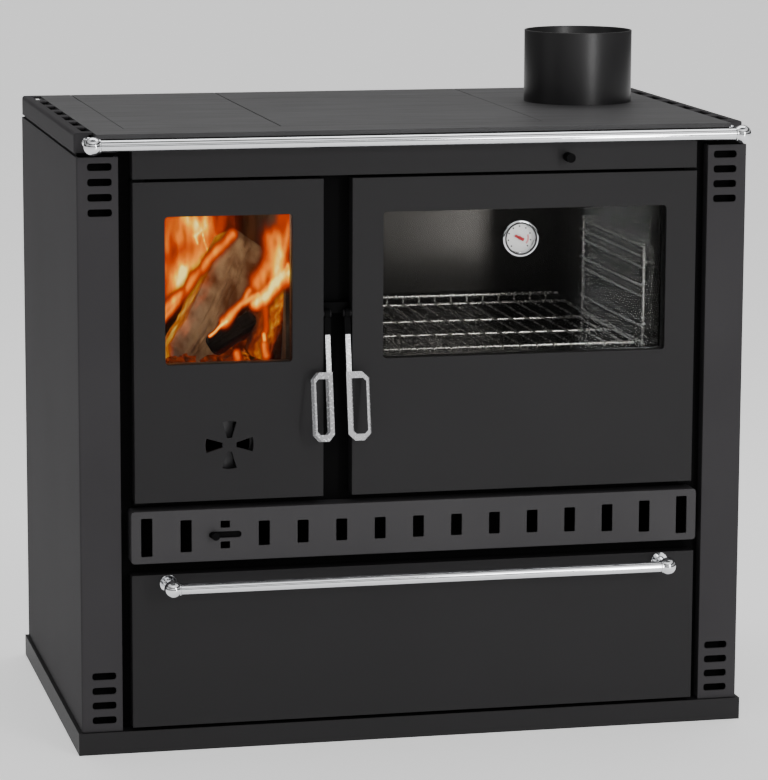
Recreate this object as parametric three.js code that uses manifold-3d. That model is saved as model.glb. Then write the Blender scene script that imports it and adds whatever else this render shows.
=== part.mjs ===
// A wood-burning kitchen cookstove: a firebox on the left, an oven on the right, a steel hob with a
// flue collar on top, a strip of air slots and a wood drawer below.
// Millimetres. X to the right, Y to the back, Z up. X = 0 is the middle of the casing, Y = 0 is the
// front face of the two columns before SHIFT_BACK is applied, and Z = 0 is the floor.

import * as THREE from 'three';
import { mergeVertices } from 'three/addons/utils/BufferGeometryUtils.js';
import Module from 'manifold-3d';

const wasm = await Module();
wasm.setup();

// ---------------------------------------------------------------- driving dimensions

// the casing
const casing_width = 934;
const casing_depth = 574;
const hob_height = 850;
const column_width = 56;
const column_return = 20;
const casing_sheet = 3;
const back_flange = 20;

// the plinth
const plinth_height = 31;
const plinth_overhang = 5;
const plinth_front_lip = 4;
const plinth_flange = 22;

// the fronts, from the plinth up
const front_proud = 8;
const front_sheet = 3;
const front_side_gap = 18;
const drawer_gap = 6;
const drawer_height = 212;
const vent_gap = 17;
const vent_height = 72;
const vent_proud = 12;
const vent_side_gap = 12;
const vent_sheet = 2.5;
const door_gap = 11;
const fascia_gap = 4;
const fascia_height = 49;
const fascia_proud = 6;

// the hob
const hob_plate = 6;
const hob_front_proud = 8;
const hob_side_strip = 47;
const hob_front_strip = 70;
const hob_back_strip = 108;
const hob_ledge = 10;
const hob_ledge_thick = 5;
const left_plate_width = 216;
const right_plate_width = 369;
const plate_clearance = 1;
const groove_width = 1.6;
const groove_depth = 1.5;

// the castellated rails along the hob's sides
const top_rail_width = 26;
const top_rail_height = 27;
const top_rail_front = 20;
const top_rail_seam = 4;
const top_rail_lip = 22;
const top_rail_bend = 5;
const top_rail_return = 20;
const top_slot_count = 7;
const top_slot_pitch = 77;
const top_slot_length = 50;
const top_slot_width = 12.5;

// the flue collar, a socket for a 150 mm pipe
const flue_bore = 151;
const flue_wall = 3;
const flue_height = 104;
const flue_from_right = 144;
const flue_from_front = 353;
const flue_flange = 12;

// the doors
const fire_door_width = 260;
const post_gap = 40;
const door_depth = 24;
const window_side_margin = 43;
const window_top_margin = 47;
const window_above_shutter = 75;
const window_corner = 5;
const glass_thick = 4;
const glass_lap = 12;
const gasket_width = 8;
const gasket_lap = 8;
const hinge_inset = 8;
const hinge_depth = 14;
const hinge_pin = 8;
const hinge_plate = 3;

// the air rosette in the fire door
const rosette_radius = 33;
const rosette_hub = 9.7;
const rosette_height = 76;
const petal_outer_half = 9.8;
const petal_inner_half = 3.2;
const shutter_radius = 37;

// the door handles
const handle_pivot_height = 251;
const handle_pivot_depth = 8;
const handle_stud = 6;
const handle_hub = 14;
const handle_hub_thick = 7;
const handle_offset = 6;
const handle_lean = 11;
const handle_swing_out = 20;
const handle_drop = 80;
const loop_height = 94;
const loop_width = 30;
const loop_chamfer = 9;
const loop_inner_bar = 6.5;
const loop_outer_bar = 3;
const loop_end_bar = 9;
const loop_depth = 8;
const strap_width = 6.5;
const strap_thick = 4;
const socket_length = 22;
const socket_grip = 7;
const socket_wall = 1.2;
const hook_reach = 16.4;
const hook_thick = 3.8;
const hook_width = 5;

// the strip of air slots
const slot_count = 15;
const slot_pitch = 54;
const slot_width = 15.5;
const slot_short = 30;
const slot_growth = 23;
const slider_place = 2;
const slider_slot_length = 45;
const slider_slot_height = 9;
const slider_square = 13;
const slider_travel = 25;

// the vents in the columns
const column_vent_count = 4;
const column_vent_pitch = 20.5;
const column_vent_width = 33;
const column_vent_height = 10;
const column_vent_corner = 3.5;
const column_vent_from_inner = 25;
const column_vent_low = 47.5;
const column_vent_below_top = 13;

// the two chromed rails and their ball ends
const rail_tube = 16;
const rail_wall = 1.5;
const rail_ball = 25;
const rail_neck = 11;
const towel_rail_foot = 15;
const drawer_rail_foot = 24;
const rail_rosette_thick = 3;
const towel_rail_reach = 33;
const towel_rail_inset = 18;
const towel_rail_drop = 13;
const drawer_rail_reach = 40;
const drawer_rail_inset = 50;
const drawer_rail_drop = 12;

// the drawer
const drawer_box_side_room = 17;
const drawer_box_depth = 519;
const drawer_box_height = 178;
const drawer_sheet = 2;
const drawer_front_rim = 14;
const runner_height = 16;
const runner_sheet = 2;
const runner_foot = 26;

// the firebox
const fire_opening_margin = 38;
const fire_opening_low = 18;
const opening_below_top = 33;
const firebox_sheet = 4;
const firebox_depth = 410;
const deck_sheet = 3;
const firebox_side_room = 22;
const brick_thick = 25;
const grate_height = 82;
const grate_thick = 14;
const grate_bars = 7;
const ash_pan_height = 44;
const ash_pan_sheet = 1.5;

// the oven
const oven_depth = 456;
const oven_height = 240;
const oven_sheet = 2;
const rack_wire = 5;
const runner_wire = 4;
const rack_from_wall = 5;
const rack_front = 52;
const rack_rear = 360;
const rack_levels = [19.2, 45, 87, 102, 129, 144, 159];
const shelf_frame_wire = 5;
const shelf_wire = 3;
const shelf_wire_pitch = 24.6;
const shelf_front = 42;
const shelf_depth = 400;
const shelf_back_rise = 13;
const shelf_bar_shares = [0, 0.29, 0.6, 1];

// the oven thermometer
const thermometer_flange = 51;
const thermometer_case = 44;
const thermometer_depth = 16;
const thermometer_below_window = 41.5;
const thermometer_off_centre = 6.5;

// the flue damper
const damper_from_right = 260;
const damper_height = 19;
const damper_rod = 6;
const damper_knob = 13;
const damper_knob_length = 18;
const damper_reach = 22;
const damper_travel = 70;
const damper_plate_width = 130;
const damper_plate_length = 110;
const damper_sheet = 2;

// clearances
const fit_gap = 0.3;
const running_gap = 0.25;

// ---------------------------------------------------------------- places worked out from them

const half_casing = casing_width / 2;
const column_inner = half_casing - column_width;
const casing_top = hob_height - top_rail_height - top_rail_seam;
const half_front = column_inner - front_side_gap;
const half_vent = column_inner - vent_side_gap;
const half_drawer_box = half_front - drawer_box_side_room;

const drawer_low = plinth_height + drawer_gap;
const drawer_top = drawer_low + drawer_height;
const vent_low = drawer_top + vent_gap;
const vent_top = vent_low + vent_height;
const fascia_top = hob_height - hob_plate - 6;
const fascia_low = fascia_top - fascia_height;
const door_low = vent_top + door_gap;
const door_top = fascia_low - fascia_gap;
const door_height = door_top - door_low;
const window_low = rosette_height + shutter_radius + window_above_shutter;
const window_height = door_height - window_top_margin - window_low;

const frame_front = column_return + fit_gap;
const frame_sheet = 4;
const frame_back = frame_front + frame_sheet;
const hob_half = half_casing - top_rail_width;
const hob_under = hob_height - hob_plate;
const back_inner = casing_depth - casing_sheet - fit_gap;

const fire_left = -half_front;
const fire_right = fire_left + fire_door_width;
const oven_left = fire_right + post_gap;
const oven_right = half_front;
const oven_door_width = oven_right - oven_left;

const opening_top = door_top - opening_below_top;
const fire_open = {
  left: fire_left + fire_opening_margin,
  right: fire_right - fire_opening_margin,
  low: door_low + fire_opening_low,
  top: opening_top,
};
const deck_top = fire_open.low - firebox_sheet - fit_gap;
const oven_open = {
  left: oven_left + window_side_margin,
  right: oven_right - window_side_margin,
  low: opening_top - oven_height,
  top: opening_top,
};
const flue_x = half_casing - flue_from_right;
const flue_y = flue_from_front;
const rail_z = hob_height - towel_rail_drop;
const post_middle = fire_right + post_gap / 2;
const handle_z = door_low + handle_pivot_height;

// the model's origin lies under the middle of its own box, which the rail in front sets
const rail_front = -Math.max(towel_rail_reach, front_proud + drawer_rail_reach) - rail_ball / 2;
const plinth_back = casing_depth + plinth_front_lip;
const SHIFT_BACK = -(rail_front + plinth_back) / 2;

// ---------------------------------------------------------------- finishes

function finish(color, roughness, metalness) {
  return { color, roughness, metalness };
}

const enamel = finish(0x39373a, 0.55, 0.35);
const dark_steel = finish(0x2a292b, 0.6, 0.4);
const hob_steel = finish(0x4a484b, 0.5, 0.5);
const black_paint = finish(0x121213, 0.7, 0.2);
const chromed = finish(0xd9dade, 0.12, 1.0);
const wire_steel = finish(0xb9bbbf, 0.25, 1.0);
const brick = finish(0x8c7a66, 0.95, 0.0);
const iron = finish(0x2f2e2e, 0.8, 0.5);
const glazing = finish(0x20252a, 0.05, 0.0);
const rope = finish(0x6f6d68, 1.0, 0.0);
const dial_white = finish(0xeeeeea, 0.6, 0.0);

// ---------------------------------------------------------------- making solids

function as_solid(geometry) {
  const bare = geometry.clone();
  bare.deleteAttribute('normal');
  bare.deleteAttribute('uv');
  const merged = mergeVertices(bare, 1e-4);
  const mesh = new wasm.Mesh({
    numProp: 3,
    vertProperties: new Float32Array(merged.attributes.position.array),
    triVerts: new Uint32Array(merged.index.array),
  });
  return new wasm.Manifold(mesh);
}

function join(...solids) {
  return solids.flat().reduce((whole, piece) => whole.add(piece));
}

function cut(solid, ...tools) {
  return tools.flat().reduce((whole, tool) => whole.subtract(tool), solid);
}

function block(x, y, z) {
  const geometry = new THREE.BoxGeometry(x[1] - x[0], y[1] - y[0], z[1] - z[0]);
  geometry.translate((x[0] + x[1]) / 2, (y[0] + y[1]) / 2, (z[0] + z[1]) / 2);
  return as_solid(geometry);
}

// a round bar along one axis; place holds its other two coordinates in X, Y, Z order
function bar(axis, place, radius, span, sides = 20) {
  const geometry = new THREE.CylinderGeometry(radius, radius, span[1] - span[0], sides);
  const middle = (span[0] + span[1]) / 2;
  if (axis === 'x') {
    geometry.rotateZ(-Math.PI / 2);
    geometry.translate(middle, place[0], place[1]);
  } else if (axis === 'y') {
    geometry.translate(place[0], middle, place[1]);
  } else {
    geometry.rotateX(Math.PI / 2);
    geometry.translate(place[0], place[1], middle);
  }
  return as_solid(geometry);
}

function ball(x, y, z, radius) {
  const geometry = new THREE.SphereGeometry(radius, 14, 8);
  geometry.translate(x, y, z);
  return as_solid(geometry);
}

// a flat shape drawn in X and Z, made solid from one Y to another
function along_y(shape, y, segments = 1) {
  const options = { depth: y[1] - y[0], bevelEnabled: false, curveSegments: segments };
  const geometry = new THREE.ExtrudeGeometry(shape, options);
  geometry.rotateX(Math.PI / 2);
  geometry.translate(0, y[1], 0);
  return as_solid(geometry);
}

// a flat shape drawn in X and Y, made solid from one Z to another
function along_z(shape, z, segments = 1) {
  const options = { depth: z[1] - z[0], bevelEnabled: false, curveSegments: segments };
  const geometry = new THREE.ExtrudeGeometry(shape, options);
  geometry.translate(0, 0, z[0]);
  return as_solid(geometry);
}

// a rectangle with rounded corners, centred on x and z
function rounded(x, z, width, height, radius) {
  const shape = new THREE.Shape();
  const r = Math.min(radius, width / 2 - 0.01, height / 2 - 0.01);
  const [x0, x1, z0, z1] = [x - width / 2, x + width / 2, z - height / 2, z + height / 2];
  shape.moveTo(x0 + r, z0);
  shape.lineTo(x1 - r, z0);
  shape.absarc(x1 - r, z0 + r, r, -Math.PI / 2, 0);
  shape.lineTo(x1, z1 - r);
  shape.absarc(x1 - r, z1 - r, r, 0, Math.PI / 2);
  shape.lineTo(x0 + r, z1);
  shape.absarc(x0 + r, z1 - r, r, Math.PI / 2, Math.PI);
  shape.lineTo(x0, z0 + r);
  shape.absarc(x0 + r, z0 + r, r, Math.PI, Math.PI * 1.5);
  return shape;
}

// a band of even width around the inside of a rectangle in X and Z
function frame_ring(box, width, y) {
  const [x0, x1, z0, z1] = box;
  const outer = block([x0, x1], y, [z0, z1]);
  const inner = block([x0 + width, x1 - width], [y[0] - 1, y[1] + 1], [z0 + width, z1 - width]);
  return cut(outer, inner);
}

function mirrored(geometry) {
  geometry.scale(-1, 1, 1);
  const index = geometry.index.array;
  for (let i = 0; i < index.length; i += 3) {
    [index[i], index[i + 1]] = [index[i + 1], index[i]];
  }
  return geometry;
}

function shape_of(solid) {
  const mesh = solid.getMesh();
  const geometry = new THREE.BufferGeometry();
  geometry.setAttribute('position', new THREE.BufferAttribute(new Float32Array(mesh.vertProperties), 3));
  geometry.setIndex(new THREE.BufferAttribute(new Uint32Array(mesh.triVerts), 1));
  return geometry;
}

function piece(name, solid, look, flip = false) {
  const geometry = flip ? mirrored(shape_of(solid)) : shape_of(solid);
  geometry.computeVertexNormals();
  const mesh = new THREE.Mesh(geometry, new THREE.MeshStandardMaterial(look));
  mesh.name = name;
  return mesh;
}

function group_at(x, y, z, ...children) {
  const group = new THREE.Group();
  group.position.set(x, y, z);
  group.add(...children.flat());
  return group;
}

// ---------------------------------------------------------------- plinth, casing and frame

function plinth() {
  const half = half_casing + plinth_overhang;
  const [y0, y1] = [-plinth_front_lip, plinth_back];
  const s = casing_sheet;
  const whole = block([-half, half], [y0, y1], [0, plinth_height]);
  const hollow = block([-half + s, half - s], [y0 + s, y1 - s], [s, plinth_height - s]);
  const f = plinth_flange;
  const mouth = block([-half + f, half - f], [y0 + f, y1 - f], [-1, s + 1]);
  return piece('plinth', cut(whole, hollow, mouth), enamel);
}

// the right-hand casing: side sheet, front column and its return, and a flange at the back
function side_casing(name, flip) {
  const s = casing_sheet;
  const [inner, outer, back] = [column_inner, half_casing, casing_depth];
  const outline = new THREE.Shape();
  outline.moveTo(inner, 0);
  outline.lineTo(outer - s, 0);
  outline.absarc(outer - s, s, s, -Math.PI / 2, 0);
  outline.lineTo(outer, back);
  outline.lineTo(outer - back_flange, back);
  outline.lineTo(outer - back_flange, back - s);
  outline.lineTo(outer - s, back - s);
  outline.lineTo(outer - s, s);
  outline.lineTo(inner + s, s);
  outline.lineTo(inner + s, column_return);
  outline.lineTo(inner, column_return);
  outline.closePath();
  const folded = along_z(outline, [plinth_height + fit_gap, casing_top], 3);
  const vents = [];
  const high = casing_top - column_vent_below_top - (column_vent_count - 1) * column_vent_pitch;
  for (const low of [column_vent_low, high]) {
    for (let i = 0; i < column_vent_count; i += 1) {
      const z = low + i * column_vent_pitch;
      const slot = rounded(inner + column_vent_from_inner, z, column_vent_width, column_vent_height, column_vent_corner);
      vents.push(along_y(slot, [-1, s + 1]));
    }
  }
  return piece(name, cut(folded, vents), enamel, flip);
}

// the room that the two top rails take from the upper corners of the sheets under the hob
function rail_corners(y) {
  const low = hob_height - top_rail_height - fit_gap;
  return [-1, 1].map((side) => {
    const x = [side * hob_half, side * (half_casing + 1)].sort((a, b) => a - b);
    return block(x, [y[0] - 1, y[1] + 1], [low, hob_height]);
  });
}

function back_panel() {
  const half = half_casing - casing_sheet - fit_gap;
  const y = [back_inner - 2, back_inner];
  const sheet = cut(
    block([-half, half], y, [plinth_height + fit_gap, hob_under - fit_gap]),
    rail_corners(y),
  );
  const vents = [];
  const count = 9;
  for (const z of [plinth_height + 60, casing_top - 60]) {
    for (let i = 0; i < count; i += 1) {
      const x = (i - (count - 1) / 2) * (casing_width / (count + 2));
      vents.push(block([x - 23, x + 23], [y[0] - 1, y[1] + 1], [z - 4, z + 4]));
    }
  }
  return piece('back_panel', cut(sheet, vents), dark_steel);
}

// the black plate that the doors close against, with an opening behind each front
function front_frame() {
  const half = half_casing - casing_sheet - fit_gap;
  const low = plinth_height + fit_gap;
  const y = [frame_front, frame_back];
  const through = [y[0] - 1, y[1] + 1];
  const plate = block([-half, half], y, [low, hob_under - fit_gap]);
  const openings = [];
  for (const o of [fire_open, oven_open]) {
    openings.push(block([o.left, o.right], through, [o.low, o.top]));
  }
  const half_drawer = half_drawer_box + 9;
  openings.push(block([-half_drawer, half_drawer], through, [low + 12, drawer_top - 4]));
  openings.push(block([-half_vent + 16, half_vent - 16], through, [vent_low + 9, vent_top - 12]));
  const damper_x = half_casing - damper_from_right;
  const rod_z = fascia_low + damper_height;
  openings.push(bar('y', [damper_x, rod_z], damper_rod / 2 + 1, through, 16));
  return piece('front_frame', cut(plate, openings, rail_corners(y)), black_paint);
}

function deck() {
  const half = half_casing - casing_sheet - fit_gap;
  const y = [frame_back + fit_gap, back_inner - 2 - fit_gap];
  return piece('firebox_deck', block([-half, half], y, [deck_top - deck_sheet, deck_top]), dark_steel);
}

// the fascia: a pan whose rim runs back to the frame, with the hole for the damper rod
function fascia() {
  const s = front_sheet;
  const y0 = -fascia_proud;
  const box = block([-half_front, half_front], [y0, frame_front - fit_gap], [fascia_low, fascia_top]);
  const room = block(
    [-half_front + s, half_front - s],
    [y0 + s, frame_front + 1],
    [fascia_low + s, fascia_top - s],
  );
  const damper_x = half_casing - damper_from_right;
  const hole = bar('y', [damper_x, fascia_low + damper_height], damper_rod / 2 + 0.6, [y0 - 1, y0 + s + 1], 16);
  return piece('fascia', cut(box, room, hole), enamel);
}

// ---------------------------------------------------------------- the hob

// the right-hand rail: a folded cap over the casing's top edge, toothed towards the hob
function top_rail(name, flip) {
  const s = casing_sheet;
  const bend = top_rail_bend;
  const low = hob_height - top_rail_height;
  const [inner, outer] = [hob_half + fit_gap, half_casing];
  const y = [top_rail_front, casing_depth];
  const section = new THREE.Shape();
  section.moveTo(outer - s, low);
  section.lineTo(outer, low);
  section.lineTo(outer, hob_height - bend);
  section.absarc(outer - bend, hob_height - bend, bend, 0, Math.PI / 2);
  section.lineTo(inner, hob_height);
  section.lineTo(inner, hob_height - s);
  section.lineTo(outer - bend, hob_height - s);
  section.absarc(outer - bend, hob_height - bend, bend - s, Math.PI / 2, 0, true);
  section.closePath();
  const cap = along_y(section, y, 4);
  const step = block([outer - 2 * s - fit_gap, outer], y, [low, low + s]);
  const lip_x = [outer - 2 * s - fit_gap, outer - s - fit_gap];
  const lip_y = [y[0] + 10, y[1] - 10];
  const lip = block(lip_x, lip_y, [low - top_rail_lip, low + s]);
  const end_section = new THREE.Shape();
  end_section.moveTo(outer - top_rail_return, low);
  end_section.lineTo(outer, low);
  end_section.lineTo(outer, hob_height - bend);
  end_section.absarc(outer - bend, hob_height - bend, bend, 0, Math.PI / 2);
  end_section.lineTo(outer - top_rail_return, hob_height);
  end_section.closePath();
  const ends = [y[0], y[1] - s].map((y0) => along_y(end_section, [y0, y0 + s], 4));
  const plan = new THREE.Shape();
  plan.moveTo(inner, y[0]);
  plan.lineTo(outer - bend, y[0]);
  plan.absarc(outer - bend, y[0] + bend, bend, -Math.PI / 2, 0);
  plan.lineTo(outer, y[1] - bend);
  plan.absarc(outer - bend, y[1] - bend, bend, 0, Math.PI / 2);
  plan.lineTo(inner, y[1]);
  plan.closePath();
  const slots = [];
  const middle = (y[0] + y[1]) / 2;
  for (let i = 0; i < top_slot_count; i += 1) {
    const centre = middle + (i - (top_slot_count - 1) / 2) * top_slot_pitch;
    const span = [centre - top_slot_length / 2, centre + top_slot_length / 2];
    slots.push(block([inner - 1, inner + top_slot_width], span, [hob_height - s - 1, hob_height + 1]));
  }
  const folded = join(cap, step, lip, ends).intersect(along_z(plan, [0, hob_height + 1], 4));
  return piece(name, cut(folded, slots), enamel, flip);
}

const hob_y = [-hob_front_proud, casing_depth];
const plates_y = [hob_y[0] + hob_front_strip, hob_y[1] - hob_back_strip];
const plate_left_x = [-hob_half + hob_side_strip, -hob_half + hob_side_strip + left_plate_width];
const plate_right_x = [plate_left_x[1], plate_left_x[1] + right_plate_width];

function hob_frame() {
  const top = block([-hob_half, hob_half], hob_y, [hob_under, hob_height]);
  const well = [plate_left_x[0], plate_right_x[1]];
  const opening = block(well, plates_y, [hob_under - 1, hob_height + 1]);
  const ledge_z = [hob_under - hob_ledge_thick, hob_under];
  const margin = 8;
  const under = block(
    [well[0] - margin, well[1] + margin],
    [plates_y[0] - margin, plates_y[1] + margin],
    ledge_z,
  );
  const deep = [ledge_z[0] - 1, ledge_z[1] + 1];
  const mouths = [plate_left_x, plate_right_x].map((x) => block(
    [x[0] + hob_ledge, x[1] - hob_ledge],
    [plates_y[0] + hob_ledge, plates_y[1] - hob_ledge],
    deep,
  ));
  const flue_hole = bar('z', [flue_x, flue_y], flue_bore / 2 + flue_wall + running_gap, [0, hob_height + 1], 40);
  const grooves = [plate_left_x[0], plate_left_x[1], plate_right_x[1]].map((x) => block(
    [x - groove_width / 2, x + groove_width / 2],
    [plates_y[1] - 1, hob_y[1] + 1],
    [hob_height - groove_depth, hob_height + 1],
  ));
  const ledge = cut(under, mouths);
  return piece('hob_frame', cut(join(cut(top, opening), ledge), flue_hole, grooves), hob_steel);
}

function hob_lid(name, span) {
  const c = plate_clearance;
  const plate = block(
    [span[0] + c, span[1] - c],
    [plates_y[0] + c, plates_y[1] - c],
    [hob_under + fit_gap, hob_height],
  );
  const rib_z = [hob_under - hob_ledge_thick + 1, hob_under + 1];
  const room = hob_ledge + 2;
  const rib_box = [span[0] + room, span[1] - room, plates_y[0] + room, plates_y[1] - room];
  const rim = cut(
    block([rib_box[0], rib_box[1]], [rib_box[2], rib_box[3]], rib_z),
    block([rib_box[0] + 5, rib_box[1] - 5], [rib_box[2] + 5, rib_box[3] - 5], [rib_z[0] - 1, rib_z[1]]),
  );
  return piece(name, join(plate, rim), hob_steel);
}

function flue_collar() {
  const inner = flue_bore / 2;
  const outer = inner + flue_wall;
  const under = hob_under - fit_gap;
  const profile = [
    [inner, under - 3], [outer + flue_flange, under - 3], [outer + flue_flange, under],
    [outer, under], [outer, hob_height + flue_height], [inner, hob_height + flue_height],
    [inner, under - 3],
  ].map(([r, z]) => new THREE.Vector2(r, z));
  const geometry = new THREE.LatheGeometry(profile, 40);
  geometry.rotateX(Math.PI / 2);
  const mesh = piece('flue_collar', as_solid(geometry), enamel);
  mesh.position.set(flue_x, flue_y, 0);
  return mesh;
}

// ---------------------------------------------------------------- chromed rails

// a ball with a socket for the tube, on a neck and a small round foot; tube_side is 1 or -1
function rail_end(name, reach, tube_side, foot_size) {
  const foot = bar('y', [0, 0], foot_size / 2, [-rail_rosette_thick - fit_gap, -fit_gap], 16);
  const neck = bar('y', [0, 0], rail_neck / 2, [-reach, -rail_rosette_thick], 14);
  const head = ball(0, -reach, 0, rail_ball / 2);
  const span = tube_side > 0 ? [2, rail_ball] : [-rail_ball, -2];
  const socket = bar('x', [-reach, 0], rail_tube / 2 + running_gap, span);
  const body = join(foot, neck, head);
  return piece(name, cut(body, socket), chromed);
}

function rail(prefix, half_length, reach, foot_size) {
  const end = half_length - 2 - fit_gap;
  const tube = cut(
    bar('x', [-reach, 0], rail_tube / 2, [-end, end], 20),
    bar('x', [-reach, 0], rail_tube / 2 - rail_wall, [-end - 1, end + 1], 20),
  );
  const left = rail_end(`${prefix}_bracket_left`, reach, 1, foot_size);
  const right = rail_end(`${prefix}_bracket_right`, reach, -1, foot_size);
  left.position.x = -half_length;
  right.position.x = half_length;
  return [piece(`${prefix}`, tube, chromed), left, right];
}

function towel_rail() {
  const half = half_casing - towel_rail_inset;
  const reach = towel_rail_reach + top_rail_front;
  return group_at(0, top_rail_front, rail_z, rail('towel_rail', half, reach, towel_rail_foot));
}

// ---------------------------------------------------------------- the strip of air slots

function slot_height(i) {
  const middle = (slot_count - 1) / 2;
  return slot_short + slot_growth * (Math.abs(i - middle) / middle) ** 3;
}

function slot_x(i) {
  return (i - (slot_count - 1) / 2) * slot_pitch;
}

const vent_middle = (vent_low + vent_top) / 2;
const slider_x = slot_x(slider_place);

function vent_strip() {
  const s = vent_sheet;
  const y0 = -vent_proud;
  const front = [y0 - 1, y0 + s + 1];
  const box = along_y(
    rounded(0, vent_middle, half_vent * 2, vent_height, 4),
    [y0, frame_front - fit_gap],
  );
  const room = block([-half_vent + s, half_vent - s], [y0 + s, frame_front + 1], [vent_low + s, vent_top - s]);
  const cuts = [];
  for (let i = 0; i < slot_count; i += 1) {
    if (i !== slider_place) {
      cuts.push(along_y(rounded(slot_x(i), vent_middle, slot_width, slot_height(i), 1.5), front));
    }
  }
  const bridge = 5;
  const tall = slot_height(slider_place) / 2;
  for (const side of [-1, 1]) {
    const low = slider_slot_height / 2 + bridge;
    const z = vent_middle + side * (low + tall) / 2;
    cuts.push(along_y(rounded(slider_x, z, slider_square, tall - low, 1), front));
  }
  cuts.push(along_y(rounded(slider_x, vent_middle, slider_slot_length, slider_slot_height, 4.5), front, 2));
  const guides = [vent_low + s, vent_top - s - 5].map((z) => (
    block([-half_vent + s, half_vent - s], [y0 + s + 3, y0 + s + 5], [z - 0.5, z + 5.5])
  ));
  return piece('vent_strip', join(cut(box, room, cuts), guides), enamel);
}

// the slotted sheet behind the strip, moved by a stud in the strip's short slot
function air_slider() {
  const s = vent_sheet;
  const y = [-vent_proud + s + 0.6, -vent_proud + s + 2.4];
  const room = half_vent - s - 2;
  const z = [vent_low + s + fit_gap, vent_top - s - fit_gap];
  const sheet = block([-room, room - slider_travel], y, z);
  const cuts = [];
  for (let i = 0; i < slot_count; i += 1) {
    const x = [slot_x(i) - slot_width / 2 - 0.5, slot_x(i) + slot_width / 2 + 0.5];
    const reach = slot_height(i) / 2;
    cuts.push(block(x, [y[0] - 1, y[1] + 1], [vent_middle - reach, vent_middle + reach]));
  }
  const stud_x = slider_x - slider_slot_length / 2 + 7.5;
  const land = block([stud_x - 4, slider_x + 10], y, [vent_middle - 5, vent_middle + 5]);
  const stud = bar('y', [stud_x, vent_middle], 3, [-vent_proud - 6, y[1]], 16);
  const cap = bar('y', [stud_x, vent_middle], 5.5, [-vent_proud - 12, -vent_proud - 4], 20);
  return piece('air_slider', join(cut(sheet, cuts), land, stud, cap), black_paint);
}

// ---------------------------------------------------------------- the drawer

function drawer() {
  const s = front_sheet;
  const [y0, y1] = [-front_proud, drawer_front_rim];
  const half = half_front + 5;
  const front = cut(
    block([-half, half], [y0, y1], [drawer_low, drawer_top]),
    block([-half + s, half - s], [y0 + s, y1 + 1], [drawer_low + s, drawer_top - s]),
  );
  const [w, t] = [half_drawer_box, drawer_sheet];
  const floor = plinth_height + fit_gap + runner_height + fit_gap;
  // the box starts inside the front's rim, flat against the back of its skin
  const box_y = [y0 + s + fit_gap, y0 + s + fit_gap + drawer_box_depth];
  const bottom = block([-w, w], box_y, [floor, floor + t]);
  // the four walls stand on the bottom as one folded ring
  const walls = cut(
    block([-w, w], box_y, [floor + t + fit_gap, floor + drawer_box_height]),
    block([-w + t, w - t], [box_y[0] + t, box_y[1] - t], [floor, floor + drawer_box_height + 1]),
  );
  const rail_group = group_at(
    0,
    y0,
    drawer_top - drawer_rail_drop,
    rail('drawer_rail', half - drawer_rail_inset, drawer_rail_reach, drawer_rail_foot),
  );
  return group_at(
    0,
    0,
    0,
    piece('drawer_front', front, enamel),
    piece('drawer_box', walls, dark_steel),
    piece('drawer_floor', bottom, dark_steel),
    rail_group,
  );
}

function drawer_runner(name, flip) {
  const w = half_drawer_box;
  const low = plinth_height + fit_gap;
  const t = runner_sheet;
  const y = [frame_back + fit_gap, drawer_box_depth - 5];
  const x = [w - 14, w + 3];
  const foot = block([x[0], x[0] + runner_foot + 8], y, [low, low + t]);
  const web = block([x[0] + 6, x[0] + 6 + t], y, [low, low + runner_height]);
  const shelf = block(x, y, [low + runner_height - t, low + runner_height]);
  const guard = block([x[1] - t, x[1]], y, [low + runner_height - t, low + runner_height + 14]);
  return piece(name, join(foot, web, shelf, guard), dark_steel, flip);
}

// ---------------------------------------------------------------- the doors

const door_window = {
  low: window_low,
  top: window_low + window_height,
};

// Every door is drawn with its hinge edge at x = 0, its free edge at x = width, its bottom at z = 0
// and the column face at y = 0. side is 1 where the door lies to the right of its hinge.
function door_shell(width, extras) {
  const s = front_sheet;
  const [y0, y1] = [-front_proud, -front_proud + door_depth];
  const box = block([0, width], [y0, y1], [0, door_height]);
  const room = block([s, width - s], [y0 + s, y1 + 1], [s, door_height - s]);
  const window_width = width - 2 * window_side_margin;
  const window_z = (door_window.low + door_window.top) / 2;
  const window = along_y(
    rounded(width / 2, window_z, window_width, window_height, window_corner),
    [y0 - 1, y0 + s + 1],
    2,
  );
  const hinge_hole = bar('z', [hinge_inset, y0 + hinge_depth], hinge_pin / 2 + running_gap, [-1, door_height + 1], 24);
  const stud_y = y0 + handle_pivot_depth;
  const at = [stud_y, handle_pivot_height];
  const reach = handle_offset + handle_hub_thick / 2;
  const boss = bar('x', at, 5.5, [width - 1, width + handle_offset - handle_hub_thick / 2 - fit_gap], 20);
  const stud = bar('x', at, handle_stud / 2, [width - 1, width + reach + fit_gap + 1.5], 16);
  const head = bar('x', at, 5, [width + reach + fit_gap, width + reach + fit_gap + 1.6], 20);
  return cut(join(cut(box, room), boss, stud, head), window, hinge_hole, extras);
}

function door_glass(width) {
  const y = [-front_proud + front_sheet + fit_gap, -front_proud + front_sheet + fit_gap + glass_thick];
  const x = [window_side_margin - glass_lap, width - window_side_margin + glass_lap];
  return block(x, y, [door_window.low - glass_lap, door_window.top + glass_lap]);
}

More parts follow.
